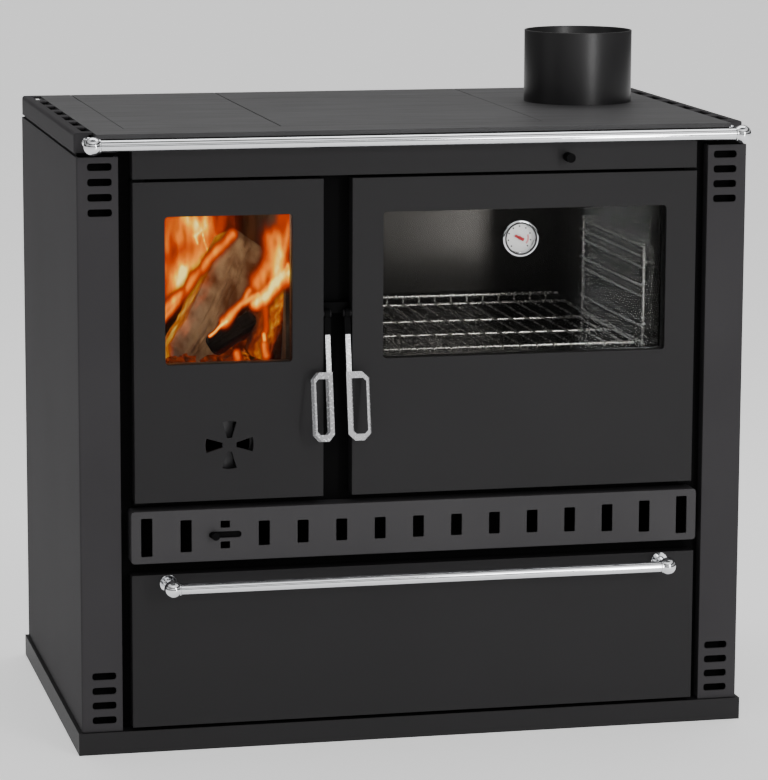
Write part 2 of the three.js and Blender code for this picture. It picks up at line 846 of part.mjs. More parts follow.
// the inner frame: a plate across the door's rim, with a collar that clamps the glass
function door_inner_frame(width, extras) {
  const s = front_sheet;
  const glass_back = -front_proud + s + fit_gap + glass_thick;
  const plate_y = [-front_proud + door_depth - 7, -front_proud + door_depth - 4];
  const x0 = hinge_inset + hinge_pin / 2 + 3;
  const z = [s + fit_gap, door_height - s - fit_gap];
  const plate = block([x0, width - s - fit_gap], plate_y, z);
  const m = window_side_margin;
  const [low, top] = [door_window.low, door_window.top];
  const hole = block([m, width - m], [glass_back - 1, plate_y[1] + 1], [low, top]);
  const collar = block([m - 5, width - m + 5], [glass_back + fit_gap, plate_y[0] + 1], [low - 5, top + 5]);
  return cut(join(plate, collar), hole, extras);
}

function door_gasket(width, open) {
  const reach = gasket_lap + gasket_width / 2;
  const box = [open.left - reach, open.right + reach, open.low - reach, open.top + reach];
  const y = [-front_proud + door_depth - 4 + fit_gap, frame_front - 2 * fit_gap];
  return frame_ring(box, gasket_width, y);
}

// a solid drawn hanging straight down from the pivot, leaned out from the door
function leaned(solid) {
  const geometry = shape_of(solid);
  geometry.rotateX((-handle_lean * Math.PI) / 180);
  return as_solid(geometry);
}

// the right-hand latch: a hub on the door's stud, a hook for the keeper and a socket for the grip
function latch_solid() {
  const hub = bar('x', [0, 0], handle_hub / 2, [-handle_hub_thick / 2, handle_hub_thick / 2], 24);
  const half_width = strap_width / 2 + socket_wall;
  const half_thick = strap_thick / 2 + socket_wall;
  const foot = -handle_hub / 2 - socket_length;
  const root = -handle_hub / 2 + 1.4;
  const socket = cut(
    block([-half_width, half_width], [-half_thick, half_thick], [foot, root]),
    block(
      [-strap_width / 2 - fit_gap, strap_width / 2 + fit_gap],
      [-strap_thick / 2 - fit_gap, strap_thick / 2 + fit_gap],
      [foot - 1, foot + socket_grip + fit_gap],
    ),
  );
  const hook_x = [-hook_width / 2, hook_width / 2];
  const arm = block(hook_x, [0, hook_reach], [-9, -5]);
  const nose = block(hook_x, [hook_reach - hook_thick, hook_reach], [-9, -1.6]);
  const bore = bar('x', [0, 0], handle_stud / 2 + running_gap, [-handle_hub, handle_hub], 16);
  return cut(join(hub, leaned(socket), arm, nose), bore);
}

// the right-hand grip: a strap that ends in a loop with a stout bar inside and a thin one outside
function grip_solid() {
  const top = -handle_hub / 2 - socket_length + socket_grip;
  const strap = block(
    [-strap_width / 2, strap_width / 2],
    [-strap_thick / 2, strap_thick / 2],
    [-handle_drop - 3, top],
  );
  const c = loop_chamfer;
  const outline = (left, right, low, high, k) => {
    const shape = new THREE.Shape();
    shape.moveTo(left + k, low);
    shape.lineTo(right - k, low);
    shape.lineTo(right, low + k);
    shape.lineTo(right, high - k);
    shape.lineTo(right - k, high);
    shape.lineTo(left, high);
    shape.lineTo(left, low + k);
    shape.closePath();
    return shape;
  };
  const [left, right, low] = [-loop_inner_bar / 2, loop_width - loop_inner_bar / 2, -loop_height];
  const outer = outline(left, right, low, 0, c);
  const inner = outline(
    left + loop_inner_bar,
    right - loop_outer_bar,
    low + loop_end_bar,
    -loop_end_bar,
    c / 2,
  );
  const [ring, hole] = [[outer, loop_depth], [inner, loop_depth + 2]].map(([shape, depth]) => {
    const geometry = new THREE.ExtrudeGeometry(shape, { depth, bevelEnabled: false });
    geometry.translate(0, 0, -depth / 2);
    geometry.rotateX(Math.PI / 2);
    geometry.rotateZ((-handle_swing_out * Math.PI) / 180);
    geometry.translate(0, 0, -handle_drop);
    return as_solid(geometry);
  });
  return leaned(join(strap, cut(ring, hole)));
}

function handle(prefix, x, flip) {
  return group_at(
    x,
    -front_proud + handle_pivot_depth,
    handle_z,
    piece(`${prefix}_latch`, latch_solid(), black_paint, flip),
    piece(`${prefix}_handle`, grip_solid(), chromed, flip),
  );
}

// one bracket under the fascia or on the vent strip's side of the door, with its pin
function hinge_bracket(name, hinge_x, at_top) {
  const y = -front_proud + hinge_depth;
  const face = at_top ? door_top + 0.4 : door_low - 0.4 - hinge_plate;
  const plate = block([hinge_x - 9, hinge_x + 9], [y - 8, frame_front - fit_gap], [face, face + hinge_plate]);
  const pin_z = at_top ? [door_top - 12, face + 1] : [face + 1, door_low + 12];
  return piece(name, join(plate, bar('z', [hinge_x, y], hinge_pin / 2, pin_z, 24)), dark_steel);
}

function latch_keeper() {
  const half = post_gap / 2 - 2;
  const x = [post_middle - half, post_middle + half];
  const back = frame_front - fit_gap;
  const top = handle_z + 14;
  const plate = block(x, [back - 3, back], [handle_z, top]);
  const web = block(x, [8, back], [top - 3, top]);
  const lip = block(x, [8, 11], [handle_z - 1.3, top]);
  return piece('latch_keeper', join(plate, web, lip), dark_steel);
}

// ---------------------------------------------------------------- the fire door and its rosette

function petal(grow) {
  const shape = new THREE.Shape();
  const [r0, r1] = [rosette_hub - grow, rosette_radius + grow];
  const [w0, w1] = [petal_inner_half + grow, petal_outer_half + grow];
  const tip = Math.asin(w1 / r1);
  shape.moveTo(w0, r0);
  shape.lineTo(r1 * Math.sin(tip), r1 * Math.cos(tip));
  shape.absarc(0, 0, r1, Math.PI / 2 - tip, Math.PI / 2 + tip);
  shape.lineTo(-w0, r0);
  shape.closePath();
  return shape;
}

function petals(x, z, y) {
  const options = { depth: y[1] - y[0], bevelEnabled: false, curveSegments: 3 };
  return [0, 1, 2, 3].map((i) => {
    const geometry = new THREE.ExtrudeGeometry(petal(0), options);
    geometry.rotateZ((i * Math.PI) / 2);
    geometry.rotateX(Math.PI / 2);
    geometry.translate(x, y[1], z);
    return as_solid(geometry);
  });
}

function rosette_shutter() {
  const x = fire_door_width / 2;
  const y = [-front_proud + front_sheet + 3, -front_proud + front_sheet + 4.5];
  const disc = bar('y', [x, rosette_height], shutter_radius, y, 32);
  const holes = petals(x, rosette_height, [y[0] - 1, y[1] + 1]);
  const pin_y = [-front_proud + front_sheet + fit_gap, -front_proud + door_depth - 7 - fit_gap];
  const pin = bar('y', [x, rosette_height], 3.5, pin_y, 16);
  const stud = bar('y', [x - 5, rosette_height - 5], 2.6, [y[0] - 2.4, y[1]], 16);
  return piece('rosette_shutter', join(cut(disc, holes), pin, stud), black_paint);
}

function fire_door() {
  const width = fire_door_width;
  const skin_y = [-front_proud - 1, -front_proud + front_sheet + 1];
  const shell = door_shell(width, petals(width / 2, rosette_height, skin_y));
  const open = {
    left: fire_open.left - fire_left,
    right: fire_open.right - fire_left,
    low: fire_open.low - door_low,
    top: fire_open.top - door_low,
  };
  const behind = [-front_proud + door_depth - 12, -front_proud + door_depth];
  const draught = bar('y', [width / 2, rosette_height], rosette_radius - 2, behind, 32);
  const web = block([width / 2 - 8, width / 2 + 8], behind, [rosette_height - 40, rosette_height + 40]);
  return group_at(
    fire_left,
    0,
    door_low,
    piece('fire_door_shell', shell, enamel),
    piece('fire_door_glass', door_glass(width), glazing),
    piece('fire_door_inner_frame', door_inner_frame(width, cut(draught, web)), dark_steel),
    piece('fire_door_gasket', door_gasket(width, open), rope),
    rosette_shutter(),
  );
}

// ---------------------------------------------------------------- the oven door

function thermometer() {
  const front = -front_proud + 1.2;
  const glass = -front_proud + front_sheet;
  const rim = bar('y', [0, 0], thermometer_flange / 2, [front, glass], 32);
  const can = bar('y', [0, 0], thermometer_case / 2, [glass - 0.5, glass + thermometer_depth], 32);
  const bowl = bar('y', [0, 0], thermometer_case / 2 - 1.5, [front - 1, glass + 9], 32);
  const stem = bar('y', [0, 0], 3, [glass + thermometer_depth - 1, glass + thermometer_depth + 26], 12);
  const dial_y = glass + 9 - fit_gap;
  const disc = bar('y', [0, 0], thermometer_case / 2 - 2, [dial_y - 1, dial_y], 32);
  const pivot = bar('y', [0, 0], 2.2, [dial_y - 3.6, dial_y - 0.5], 12);
  const hand = block([-11, 13], [dial_y - 3, dial_y - 2.2], [-1.4, 1.4]);
  const dial = piece('thermometer_dial', join(disc, pivot, hand), dial_white);
  dial.rotation.y = 0.35;
  return [piece('thermometer_case', cut(join(rim, can, stem), bowl), chromed), dial];
}

const thermometer_z = door_window.top - thermometer_below_window;

function oven_door() {
  const width = oven_door_width;
  const open = {
    left: oven_right - oven_open.right,
    right: oven_right - oven_open.left,
    low: oven_open.low - door_low,
    top: oven_open.top - door_low,
  };
  const thermometer_x = width / 2 + thermometer_off_centre;
  const hole = bar('y', [thermometer_x, thermometer_z], thermometer_case / 2 + running_gap, [-30, 30], 32);
  // drawn with the hinge on the left and then mirrored, because the oven door hangs on the right
  return group_at(
    oven_right,
    0,
    door_low,
    piece('oven_door_shell', door_shell(width, []), enamel, true),
    piece('oven_door_glass', cut(door_glass(width), hole), glazing, true),
    piece('oven_door_inner_frame', door_inner_frame(width, []), dark_steel, true),
    piece('oven_door_gasket', door_gasket(width, open), rope, true),
    group_at(-thermometer_x, 0, thermometer_z, thermometer()),
  );
}

// ---------------------------------------------------------------- the firebox

const firebox_x = [fire_open.left - firebox_side_room, fire_open.right + firebox_side_room];
const firebox_y = [frame_back + fit_gap, frame_back + fit_gap + firebox_depth];
const firebox_z = [deck_top + fit_gap, hob_under - hob_ledge_thick - 4];
const smoke_gap = 60;

function firebox() {
  const s = firebox_sheet;
  const shell = block(firebox_x, firebox_y, firebox_z);
  const room = block(
    [firebox_x[0] + s, firebox_x[1] - s],
    [firebox_y[0] - 1, firebox_y[1] - s],
    [firebox_z[0] + s, firebox_z[1] + 1],
  );
  const smoke_way = block(
    [firebox_x[1] - s - 1, firebox_x[1] + 1],
    [firebox_y[0] - 1, firebox_y[1] - 40],
    [firebox_z[1] - smoke_gap, firebox_z[1] + 1],
  );
  const ledge_z = [deck_top + grate_height - 6, deck_top + grate_height];
  const ledges = [
    block([firebox_x[0] + s - 1, firebox_x[0] + s + brick_thick + 10], [firebox_y[0], firebox_y[1] - s], ledge_z),
    block([firebox_x[1] - s - brick_thick - 10, firebox_x[1] - s + 1], [firebox_y[0], firebox_y[1] - s], ledge_z),
  ];
  return piece('firebox', join(cut(shell, room, smoke_way), ledges), iron);
}

const grate_z = deck_top + grate_height + fit_gap;
const hearth_x = [
  firebox_x[0] + firebox_sheet + brick_thick + 2 * fit_gap,
  firebox_x[1] - firebox_sheet - brick_thick - 2 * fit_gap,
];

function firebricks() {
  const s = firebox_sheet + fit_gap;
  const [top, low] = [firebox_z[1] - smoke_gap - 6, grate_z];
  const back_y = [firebox_y[1] - s - brick_thick, firebox_y[1] - s];
  const side_y = [firebox_y[0] + 3, back_y[0] - fit_gap];
  const left = block([firebox_x[0] + s, firebox_x[0] + s + brick_thick], side_y, [low, top]);
  const right = block([firebox_x[1] - s - brick_thick, firebox_x[1] - s], side_y, [low, top]);
  const across = [firebox_x[0] + s, firebox_x[1] - s];
  const back = block(across, back_y, [low, top]);
  return [
    piece('firebrick_left', left, brick),
    piece('firebrick_right', right, brick),
    piece('firebrick_back', back, brick),
  ];
}

function fire_grate() {
  const y = [firebox_y[0] + 6, firebox_y[1] - firebox_sheet - brick_thick - 2 * fit_gap];
  const plate = block(hearth_x, y, [grate_z, grate_z + grate_thick]);
  const width = hearth_x[1] - hearth_x[0];
  const pitch = (width - 24) / grate_bars;
  const slots = [];
  for (let i = 0; i < grate_bars; i += 1) {
    const x = hearth_x[0] + 12 + (i + 0.5) * pitch;
    for (const half of [0, 1]) {
      const length = (y[1] - y[0]) / 2;
      const y0 = y[0] + half * length + 14;
      const slot = block([x - pitch / 3.2, x + pitch / 3.2], [y0, y0 + length - 28], [grate_z - 1, grate_z + 99]);
      slots.push(slot);
    }
  }
  return piece('fire_grate', cut(plate, slots), iron);
}

function ash_pan() {
  const low = fire_open.low + fit_gap;
  const top = low + ash_pan_height;
  const x = [fire_open.left + 6, fire_open.right - 6];
  const y = [firebox_y[0] + 4, firebox_y[1] - firebox_sheet - 6];
  const t = ash_pan_sheet;
  const pan = cut(
    block(x, y, [low, top]),
    block([x[0] + t, x[1] - t], [y[0] + t, y[1] - t], [low + t, top + 1]),
  );
  const middle = (x[0] + x[1]) / 2;
  const grip = block([middle - 35, middle + 35], [y[0] - 3.4, y[0] + 0.5], [top - 12, top]);
  return piece('ash_pan', join(pan, grip), dark_steel);
}

// ---------------------------------------------------------------- the oven

const oven_y = [frame_back + fit_gap, frame_back + fit_gap + oven_depth];

function oven_liner() {
  const s = oven_sheet;
  const outer = block(
    [oven_open.left - s, oven_open.right + s],
    [oven_y[0], oven_y[1] + s],
    [oven_open.low - s, oven_open.top + s],
  );
  const room = block(
    [oven_open.left, oven_open.right],
    [oven_y[0] - 1, oven_y[1]],
    [oven_open.low, oven_open.top],
  );
  return piece('oven_liner', cut(outer, room), dark_steel);
}

// the right-hand wire ladder; its pins reach to the oven's wall
function oven_rack(name, x_wall, side) {
  const r = rack_wire / 2;
  const x = x_wall - side * rack_from_wall;
  const [front, rear] = [oven_y[0] + rack_front, oven_y[0] + rack_rear];
  const low = oven_open.low;
  const top = low + rack_levels[rack_levels.length - 1];
  const parts = [];
  for (const y of [front, rear]) {
    parts.push(bar('z', [x, y], r, [low + fit_gap, top + 4], 6));
    for (const z of [low + 30, top - 24]) {
      const ends = [x, x_wall - side * fit_gap].sort((a, b) => a - b);
      parts.push(bar('x', [y, z], r * 0.8, ends, 5));
    }
  }
  for (const level of rack_levels) {
    const z = low + level;
    const inner = x - side * 4;
    parts.push(bar('y', [inner, z], runner_wire / 2, [front - 9, rear + 9], 5));
    for (const y of [front, rear]) {
      const ends = [inner, x].sort((a, b) => a - b);
      parts.push(bar('x', [y, z], runner_wire / 2, ends, 5));
    }
  }
  return piece(name, join(parts), wire_steel);
}

function oven_shelf() {
  const rest = oven_open.low + rack_levels[0] + runner_wire / 2 + fit_gap;
  const z = rest + shelf_frame_wire / 2;
  const r = shelf_frame_wire / 2;
  const inset = rack_from_wall + rack_wire / 2 + 1.2;
  const x = [oven_open.left + inset, oven_open.right - inset];
  const y = [oven_y[0] + shelf_front, oven_y[0] + shelf_front + shelf_depth];
  const parts = [];
  for (const share of shelf_bar_shares) {
    const bar_y = y[0] + share * (y[1] - y[0]);
    parts.push(bar('x', [bar_y, z], r, x, 6));
  }
  for (const bar_x of [x[0] + r, x[1] - r]) {
    parts.push(bar('y', [bar_x, z], r, [y[0], y[1]], 6));
  }
  parts.push(bar('x', [y[1], z + shelf_back_rise], r, [x[0] + 12, x[1] - 12], 6));
  const count = Math.floor((x[1] - x[0] - 20) / shelf_wire_pitch);
  const middle = (x[0] + x[1]) / 2;
  for (let i = 0; i < count; i += 1) {
    const wire_x = middle + (i - (count - 1) / 2) * shelf_wire_pitch;
    const lift = z + r * 0.7;
    parts.push(bar('y', [wire_x, lift], shelf_wire / 2, [y[0] - 3, y[1] + 2], 4));
    parts.push(bar('z', [wire_x, y[1]], shelf_wire / 2, [lift, z + shelf_back_rise], 4));
    parts.push(bar('z', [wire_x, y[0] - 3], shelf_wire / 2, [z - 4, lift], 4));
  }
  return piece('oven_shelf', join(parts), wire_steel);
}

// ---------------------------------------------------------------- the flue damper

const damper_x = half_casing - damper_from_right;
const damper_z = fascia_low + damper_height;
const baffle_z = damper_z - damper_rod / 2 - 4;

// a plate over the oven with a smoke hole, whose folded edges guide the damper
function smoke_baffle() {
  const y = [frame_back + fit_gap, back_inner - 2 - fit_gap];
  const x = [oven_open.left - oven_sheet, half_casing - casing_sheet - fit_gap];
  const z = [baffle_z - damper_sheet, baffle_z];
  const plate = block(x, y, z);
  const hole = block(
    [flue_x - damper_plate_width / 2 + 15, flue_x + damper_plate_width / 2 - 15],
    [flue_y - damper_plate_length / 2 + 12, flue_y + damper_plate_length / 2 - 12],
    [z[0] - 1, z[1] + 1],
  );
  const guides = [];
  for (const side of [-1, 1]) {
    const edge = flue_x + side * (damper_plate_width / 2 + fit_gap);
    const span = [edge, edge + side * 3].sort((a, b) => a - b);
    const guide_y = [flue_y - damper_plate_length / 2 - damper_travel, flue_y + damper_plate_length / 2];
    guides.push(block(span, guide_y, [z[1] - 1, z[1] + damper_sheet + fit_gap]));
  }
  return piece('smoke_baffle', join(cut(plate, hole), guides), iron);
}

function damper() {
  const plate_z = [baffle_z + fit_gap, baffle_z + fit_gap + damper_sheet];
  const plate = block(
    [flue_x - damper_plate_width / 2, flue_x + damper_plate_width / 2],
    [flue_y - damper_plate_length / 2, flue_y + damper_plate_length / 2],
    plate_z,
  );
  const arm_y = [flue_y - damper_plate_length / 2, flue_y - damper_plate_length / 2 + 20];
  const arm_z = [plate_z[1] + 2 * fit_gap, plate_z[1] + 6];
  const arm = block([damper_x - 6, flue_x], arm_y, arm_z);
  const leg_x = [flue_x - damper_plate_width / 2 + 4, flue_x];
  const leg = block(leg_x, arm_y, [plate_z[1] - 0.5, arm_z[1]]);
  const knob_y = [-fascia_proud - damper_reach, -fascia_proud - damper_reach + damper_knob_length];
  const rod_y = [knob_y[1] - 8 + fit_gap, arm_y[0] - fit_gap];
  const rod = bar('y', [damper_x, damper_z], damper_rod / 2, rod_y, 16);
  const knob = cut(
    bar('y', [damper_x, damper_z], damper_knob / 2, knob_y, 24),
    bar('y', [damper_x, damper_z], damper_rod / 2 + running_gap, [knob_y[1] - 8, knob_y[1] + 1], 16),
  );
  return [
    piece('damper_plate', join(plate, leg, arm), iron),
    piece('damper_rod', rod, dark_steel),
    piece('damper_knob', knob, black_paint),
  ];
}

// ---------------------------------------------------------------- the whole cookstove

const hinges = [
  ['fire_hinge', fire_left + hinge_inset],
  ['oven_hinge', oven_right - hinge_inset],
];

const cookstove = group_at(
  0,
  SHIFT_BACK,
  0,
  plinth(),
  side_casing('right_side_casing', false),
  side_casing('left_side_casing', true),
  back_panel(),
  front_frame(),
  deck(),
  fascia(),
  top_rail('right_top_rail', false),
  top_rail('left_top_rail', true),
  hob_frame(),
  hob_lid('hob_plate_left', plate_left_x),
  hob_lid('hob_plate_right', plate_right_x),
  flue_collar(),
  towel_rail(),
  vent_strip(),
  air_slider(),
  drawer_runner('right_drawer_runner', false),
  drawer_runner('left_drawer_runner', true),
  drawer(),
  firebox(),
  firebricks(),
  fire_grate(),
  ash_pan(),
  oven_liner(),
  oven_rack('oven_rack_left', oven_open.left, -1),
  oven_rack('oven_rack_right', oven_open.right, 1),
  oven_shelf(),
  smoke_baffle(),
  damper(),
  hinges.map(([name, x]) => [
    hinge_bracket(`${name}_top`, x, true),
    hinge_bracket(`${name}_bottom`, x, false),
  ]).flat(),
  latch_keeper(),
  fire_door(),
  oven_door(),
  handle('fire_door', fire_right + handle_offset, true),
  handle('oven_door', oven_left - handle_offset, false),
);

export default group_at(0, 0, 0, cookstove);
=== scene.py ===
# %% [markdown]
# # A wood-burning kitchen cookstove
# This script dresses a finished set of metal parts as the real stove: matt stove paint, a
# brushed steel hob, chromed rails, wire shelves behind glass and a burning fire. The parts
# come in as fixed solids. Round and bent pieces are made again here with finer surfaces, and
# everything else keeps its solid and gets a material of its own.

import math

import bmesh
import bpy
from mathutils import Matrix, Vector, noise


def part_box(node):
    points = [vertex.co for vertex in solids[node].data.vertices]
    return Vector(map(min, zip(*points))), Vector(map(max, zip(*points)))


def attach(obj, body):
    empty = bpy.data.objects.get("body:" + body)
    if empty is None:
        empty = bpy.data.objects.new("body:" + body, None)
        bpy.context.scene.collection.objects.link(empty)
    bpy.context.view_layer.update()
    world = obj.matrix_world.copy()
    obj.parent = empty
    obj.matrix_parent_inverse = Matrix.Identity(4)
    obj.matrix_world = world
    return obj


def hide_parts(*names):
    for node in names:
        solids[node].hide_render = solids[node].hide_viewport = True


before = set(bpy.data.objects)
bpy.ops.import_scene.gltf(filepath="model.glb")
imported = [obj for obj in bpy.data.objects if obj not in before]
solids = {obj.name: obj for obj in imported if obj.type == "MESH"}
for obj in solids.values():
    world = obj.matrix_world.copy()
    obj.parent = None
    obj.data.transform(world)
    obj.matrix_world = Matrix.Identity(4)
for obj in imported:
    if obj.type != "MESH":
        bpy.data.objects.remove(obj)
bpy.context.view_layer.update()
MM = 0.001
STOVE = "cookstove"  # the body that stands still

# %% [markdown]
# The camera stands at the left of the stove and a little above the hob. A long lens keeps the
# upright edges nearly parallel, as a product photograph does. Its place and its three angles
# come from fitting the straight edges of the casing, so that the stove fills the frame in the
# same way.

# %% Camera
CAMERA_PLACE = Vector((-1.1234, -4.97125, 1.3354))
CAMERA_YAW = math.radians(12.87)
CAMERA_PITCH = math.radians(9.90)
CAMERA_ROLL = math.radians(0.23)
FOCAL_PIXELS = 3587
IMAGE_HEIGHT = 780
SENSOR = 36


def camera_axes(yaw, pitch, roll):
    """Right, up and forward directions for a camera that first looks along +Y."""
    level = math.cos(pitch)
    forward = Vector((math.sin(yaw) * level, math.cos(yaw) * level, -math.sin(pitch)))
    right = Vector((math.cos(yaw), -math.sin(yaw), 0))
    up = right.cross(forward)
    turned_right = right * math.cos(roll) + up * math.sin(roll)
    turned_up = up * math.cos(roll) - right * math.sin(roll)
    return turned_right, turned_up, forward


camera_data = bpy.data.cameras.new("camera")
camera_data.sensor_width = SENSOR
camera_data.lens = FOCAL_PIXELS * SENSOR / IMAGE_HEIGHT
camera = bpy.data.objects.new("camera", camera_data)
right, up, forward = camera_axes(CAMERA_YAW, CAMERA_PITCH, CAMERA_ROLL)
turn = Matrix((right, up, -forward)).transposed().to_4x4()
camera.matrix_world = Matrix.Translation(CAMERA_PLACE) @ turn
bpy.context.collection.objects.link(camera)
bpy.context.scene.camera = camera
print("lens in millimetres:", round(camera_data.lens, 1))

# %% [markdown]
# A finish is a small graph of nodes: fine grain or brush marks drive the bump and the
# roughness, and slow clouds shift the colour a little. These helpers add a node, join two
# sockets and build the grain, so that the sky and each finish below stay a few lines long.

# %% Helpers for finishes
def set_values(node, values):
    for socket, value in values.items():
        node.inputs[socket].default_value = value


def add_node(tree, kind, values):
    node = tree.nodes.new(kind)
    set_values(node, values)
    return node


def start_finish(name, colour, roughness, metallic=0.0):
    """A new material, its node tree and its main shader."""
    material = bpy.data.materials.new(name)
    material.use_nodes = True
    tree = material.node_tree
    shader = tree.nodes["Principled BSDF"]
    set_values(shader, {"Base Color": (*colour, 1), "Roughness": roughness, "Metallic": metallic})
    return material, tree, shader


def noise_node(tree, scale, detail=3, stretch=(1, 1, 1)):
    """Noise over the piece itself, drawn out along an axis where stretch is small."""
    place = tree.nodes.new("ShaderNodeTexCoord")
    mapping = add_node(tree, "ShaderNodeMapping", {"Scale": stretch})
    cloud = add_node(tree, "ShaderNodeTexNoise", {"Scale": scale, "Detail": detail})
    tree.links.new(place.outputs["Object"], mapping.inputs["Vector"])
    tree.links.new(mapping.outputs["Vector"], cloud.inputs["Vector"])
    return cloud.outputs["Fac"]


def spread(tree, source, low, high):
    """The source's middle values, mapped to low and high."""
    ends = {"From Min": 0.3, "From Max": 0.7, "To Min": low, "To Max": high}
    node = add_node(tree, "ShaderNodeMapRange", ends)
    tree.links.new(source, node.inputs["Value"])
    return node.outputs["Result"]


def ramp(tree, source, stops):
    """A colour for each value of source; stops are pairs of place and colour."""
    node = tree.nodes.new("ShaderNodeValToRGB")
    elements = node.color_ramp.elements
    while len(elements) < len(stops):
        elements.new(0.5)
    for element, (place, colour) in zip(elements, stops):
        element.position = place
        element.color = (*colour, 1)
    tree.links.new(source, node.inputs[0])
    return node.outputs["Color"]


def bump(tree, shader, source, depth, edge=0.0):
    """Grain of that depth in metres, on edges rounded to that radius."""
    node = add_node(tree, "ShaderNodeBump", {"Distance": depth})
    tree.links.new(source, node.inputs["Height"])
    if edge:
        rounding = add_node(tree, "ShaderNodeBevel", {"Radius": edge})
        rounding.samples = 6
        tree.links.new(rounding.outputs["Normal"], node.inputs["Normal"])
    tree.links.new(node.outputs["Normal"], shader.inputs["Normal"])


def shade(colour, factor):
    return tuple(channel * factor for channel in colour)


print("helpers for finishes: 8")

# %% [markdown]
# Dark paint shows its shape only through soft light. A large lamp lies over the hob and a dim
# one stands at the left for the side casing. The third draws the bright streak on the flue
# collar, and a narrow fourth shines through the oven's glass on to its back wall.

# %% Lamps
# each lamp: its place, the point it aims at, its width, its height and its power in watts
LAMPS = {
    "top lamp": ((0.2, 0.9, 3.4), (0, 0.2, 0.85), 3.2, 1.8, 44),
    "left lamp": ((-3.4, -0.6, 1.5), (0, 0, 0.45), 1.8, 2.0, 3),
    "flue lamp": ((1.45, -3.9, 2.0), (0.3, 0.1, 0.9), 0.9, 1.2, 30),
    "oven lamp": ((0.98, -2.6, 0.45), (0.18, 0.2, 0.62), 0.14, 1.1, 9),
}


def add_lamp(name, place, aim, width, height, power):
    data = bpy.data.lights.new(name, "AREA")
    data.shape = "RECTANGLE"
    data.size, data.size_y = width, height
    data.energy = power
    lamp = bpy.data.objects.new(name, data)
    lamp.location = place
    lamp.rotation_euler = (Vector(aim) - Vector(place)).to_track_quat("-Z", "Y").to_euler()
    bpy.context.collection.objects.link(lamp)


for lamp_name, values in LAMPS.items():
    add_lamp(lamp_name, *values)
print("lamps:", len(LAMPS))

# %% [markdown]
# The sky has dark bands, which give the chrome its dark streaks. It is dimmer at the left and
# at the back, so the side casing and the hob stay as dark as their paint. One ramp makes the
# bands, and one ramp along X and one along Y shade them.

# %% Sky
SKY_STRENGTH = 1.6
# pairs of height and brightness, where 0 looks straight down and 1 straight up
SKY_BANDS = [
    (0.0, 0.02), (0.14, 0.03), (0.20, 0.85), (0.38, 0.95), (0.43, 0.04),
    (0.57, 0.05), (0.63, 1.25), (0.84, 1.25), (0.92, 0.15), (1.0, 0.10),
]
# brightness at the low end, in the middle and at the high end of each axis
SIDE_SHADE = {"X": (0.22, 1.0, 0.35), "Y": (1.0, 0.7, 0.40)}


def grey(value):
    return (value, value, value)


world = bpy.data.worlds.new("studio")
world.use_nodes = True
bpy.context.scene.world = world
sky = world.node_tree
direction = sky.nodes.new("ShaderNodeTexCoord")
split = sky.nodes.new("ShaderNodeSeparateXYZ")
sky.links.new(direction.outputs["Generated"], split.inputs[0])
glow = ramp(sky, split.outputs["Z"], [(height, grey(value)) for height, value in SKY_BANDS])
for axis, values in SIDE_SHADE.items():
    share = add_node(sky, "ShaderNodeMapRange", {"From Min": -1})
    sky.links.new(split.outputs[axis], share.inputs["Value"])
    fade = ramp(sky, share.outputs["Result"], list(zip((0, 0.5, 1), map(grey, values))))
    scaled = sky.nodes.new("ShaderNodeVectorMath")
    scaled.operation = "MULTIPLY"
    sky.links.new(glow, scaled.inputs[0])
    sky.links.new(fade, scaled.inputs[1])
    glow = scaled.outputs["Vector"]
sky.links.new(glow, sky.nodes["Background"].inputs["Color"])
set_values(sky.nodes["Background"], {"Strength": SKY_STRENGTH})
print("sky bands:", len(SKY_BANDS))

# %% [markdown]
# The casing, doors and drawer are sheet steel with heat-proof paint, sprayed thin and baked.
# It is matt with a fine sandy grain and almost no colour of its own. The casing is a shade
# lighter than the fronts. One function makes both, and also the black of the frame behind.

# %% Stove paint
CLOUD_SCALE = 5
SAND_SCALE = 1600
DOOR_GREY = (0.0135, 0.0128, 0.0137)
CASING_GREY = (0.0470, 0.0450, 0.0475)
FRAME_BLACK = (0.0030, 0.0029, 0.0031)


def stove_paint(
    name, colour, roughness=0.52, grain=0.06 * MM, edge=1.2 * MM, streaks=(1, 1, 1), gloss=0.22
):
    """Matt paint with sandy grain; the light catches each edge as if it were rounded."""
    material, tree, shader = start_finish(name, colour, roughness)
    set_values(shader, {"Specular IOR Level": gloss})
    clouds = noise_node(tree, CLOUD_SCALE, 4, streaks)
    tones = [(0.3, shade(colour, 0.93)), (0.7, shade(colour, 1.07))]
    tree.links.new(ramp(tree, clouds, tones), shader.inputs["Base Color"])
    sand = noise_node(tree, SAND_SCALE, 2)
    dusted = spread(tree, sand, roughness - 0.05, roughness + 0.06)
    tree.links.new(dusted, shader.inputs["Roughness"])
    bump(tree, shader, sand, grain, edge)
    return material


door_paint = stove_paint("door paint", DOOR_GREY)
casing_paint = stove_paint("casing paint", CASING_GREY, 0.6, gloss=0.03)
strip_paint = stove_paint("air strip paint", shade(CASING_GREY, 0.95))
plinth_paint = stove_paint("plinth paint", shade(DOOR_GREY, 1.05))
frame_paint = stove_paint("frame paint", FRAME_BLACK, 0.65, gloss=0.05)
rail_paint = stove_paint("top rail paint", CASING_GREY, 0.6, edge=3 * MM, gloss=0.04)
flue_grey = shade(DOOR_GREY, 0.9)
flue_paint = stove_paint("flue paint", flue_grey, 0.34, 0.03 * MM, 0.0, (1, 1, 0.02), 0.5)
print("paints:", door_paint.name, casing_paint.name, frame_paint.name)

# %% [markdown]
# The hob is thick ground steel, blued by heat and brushed from left to right. Brush marks are
# noise drawn out along X: they vary the roughness and lift the surface by a few hundredths of
# a millimetre. The oven's lining is brushed upwards and is much finer.

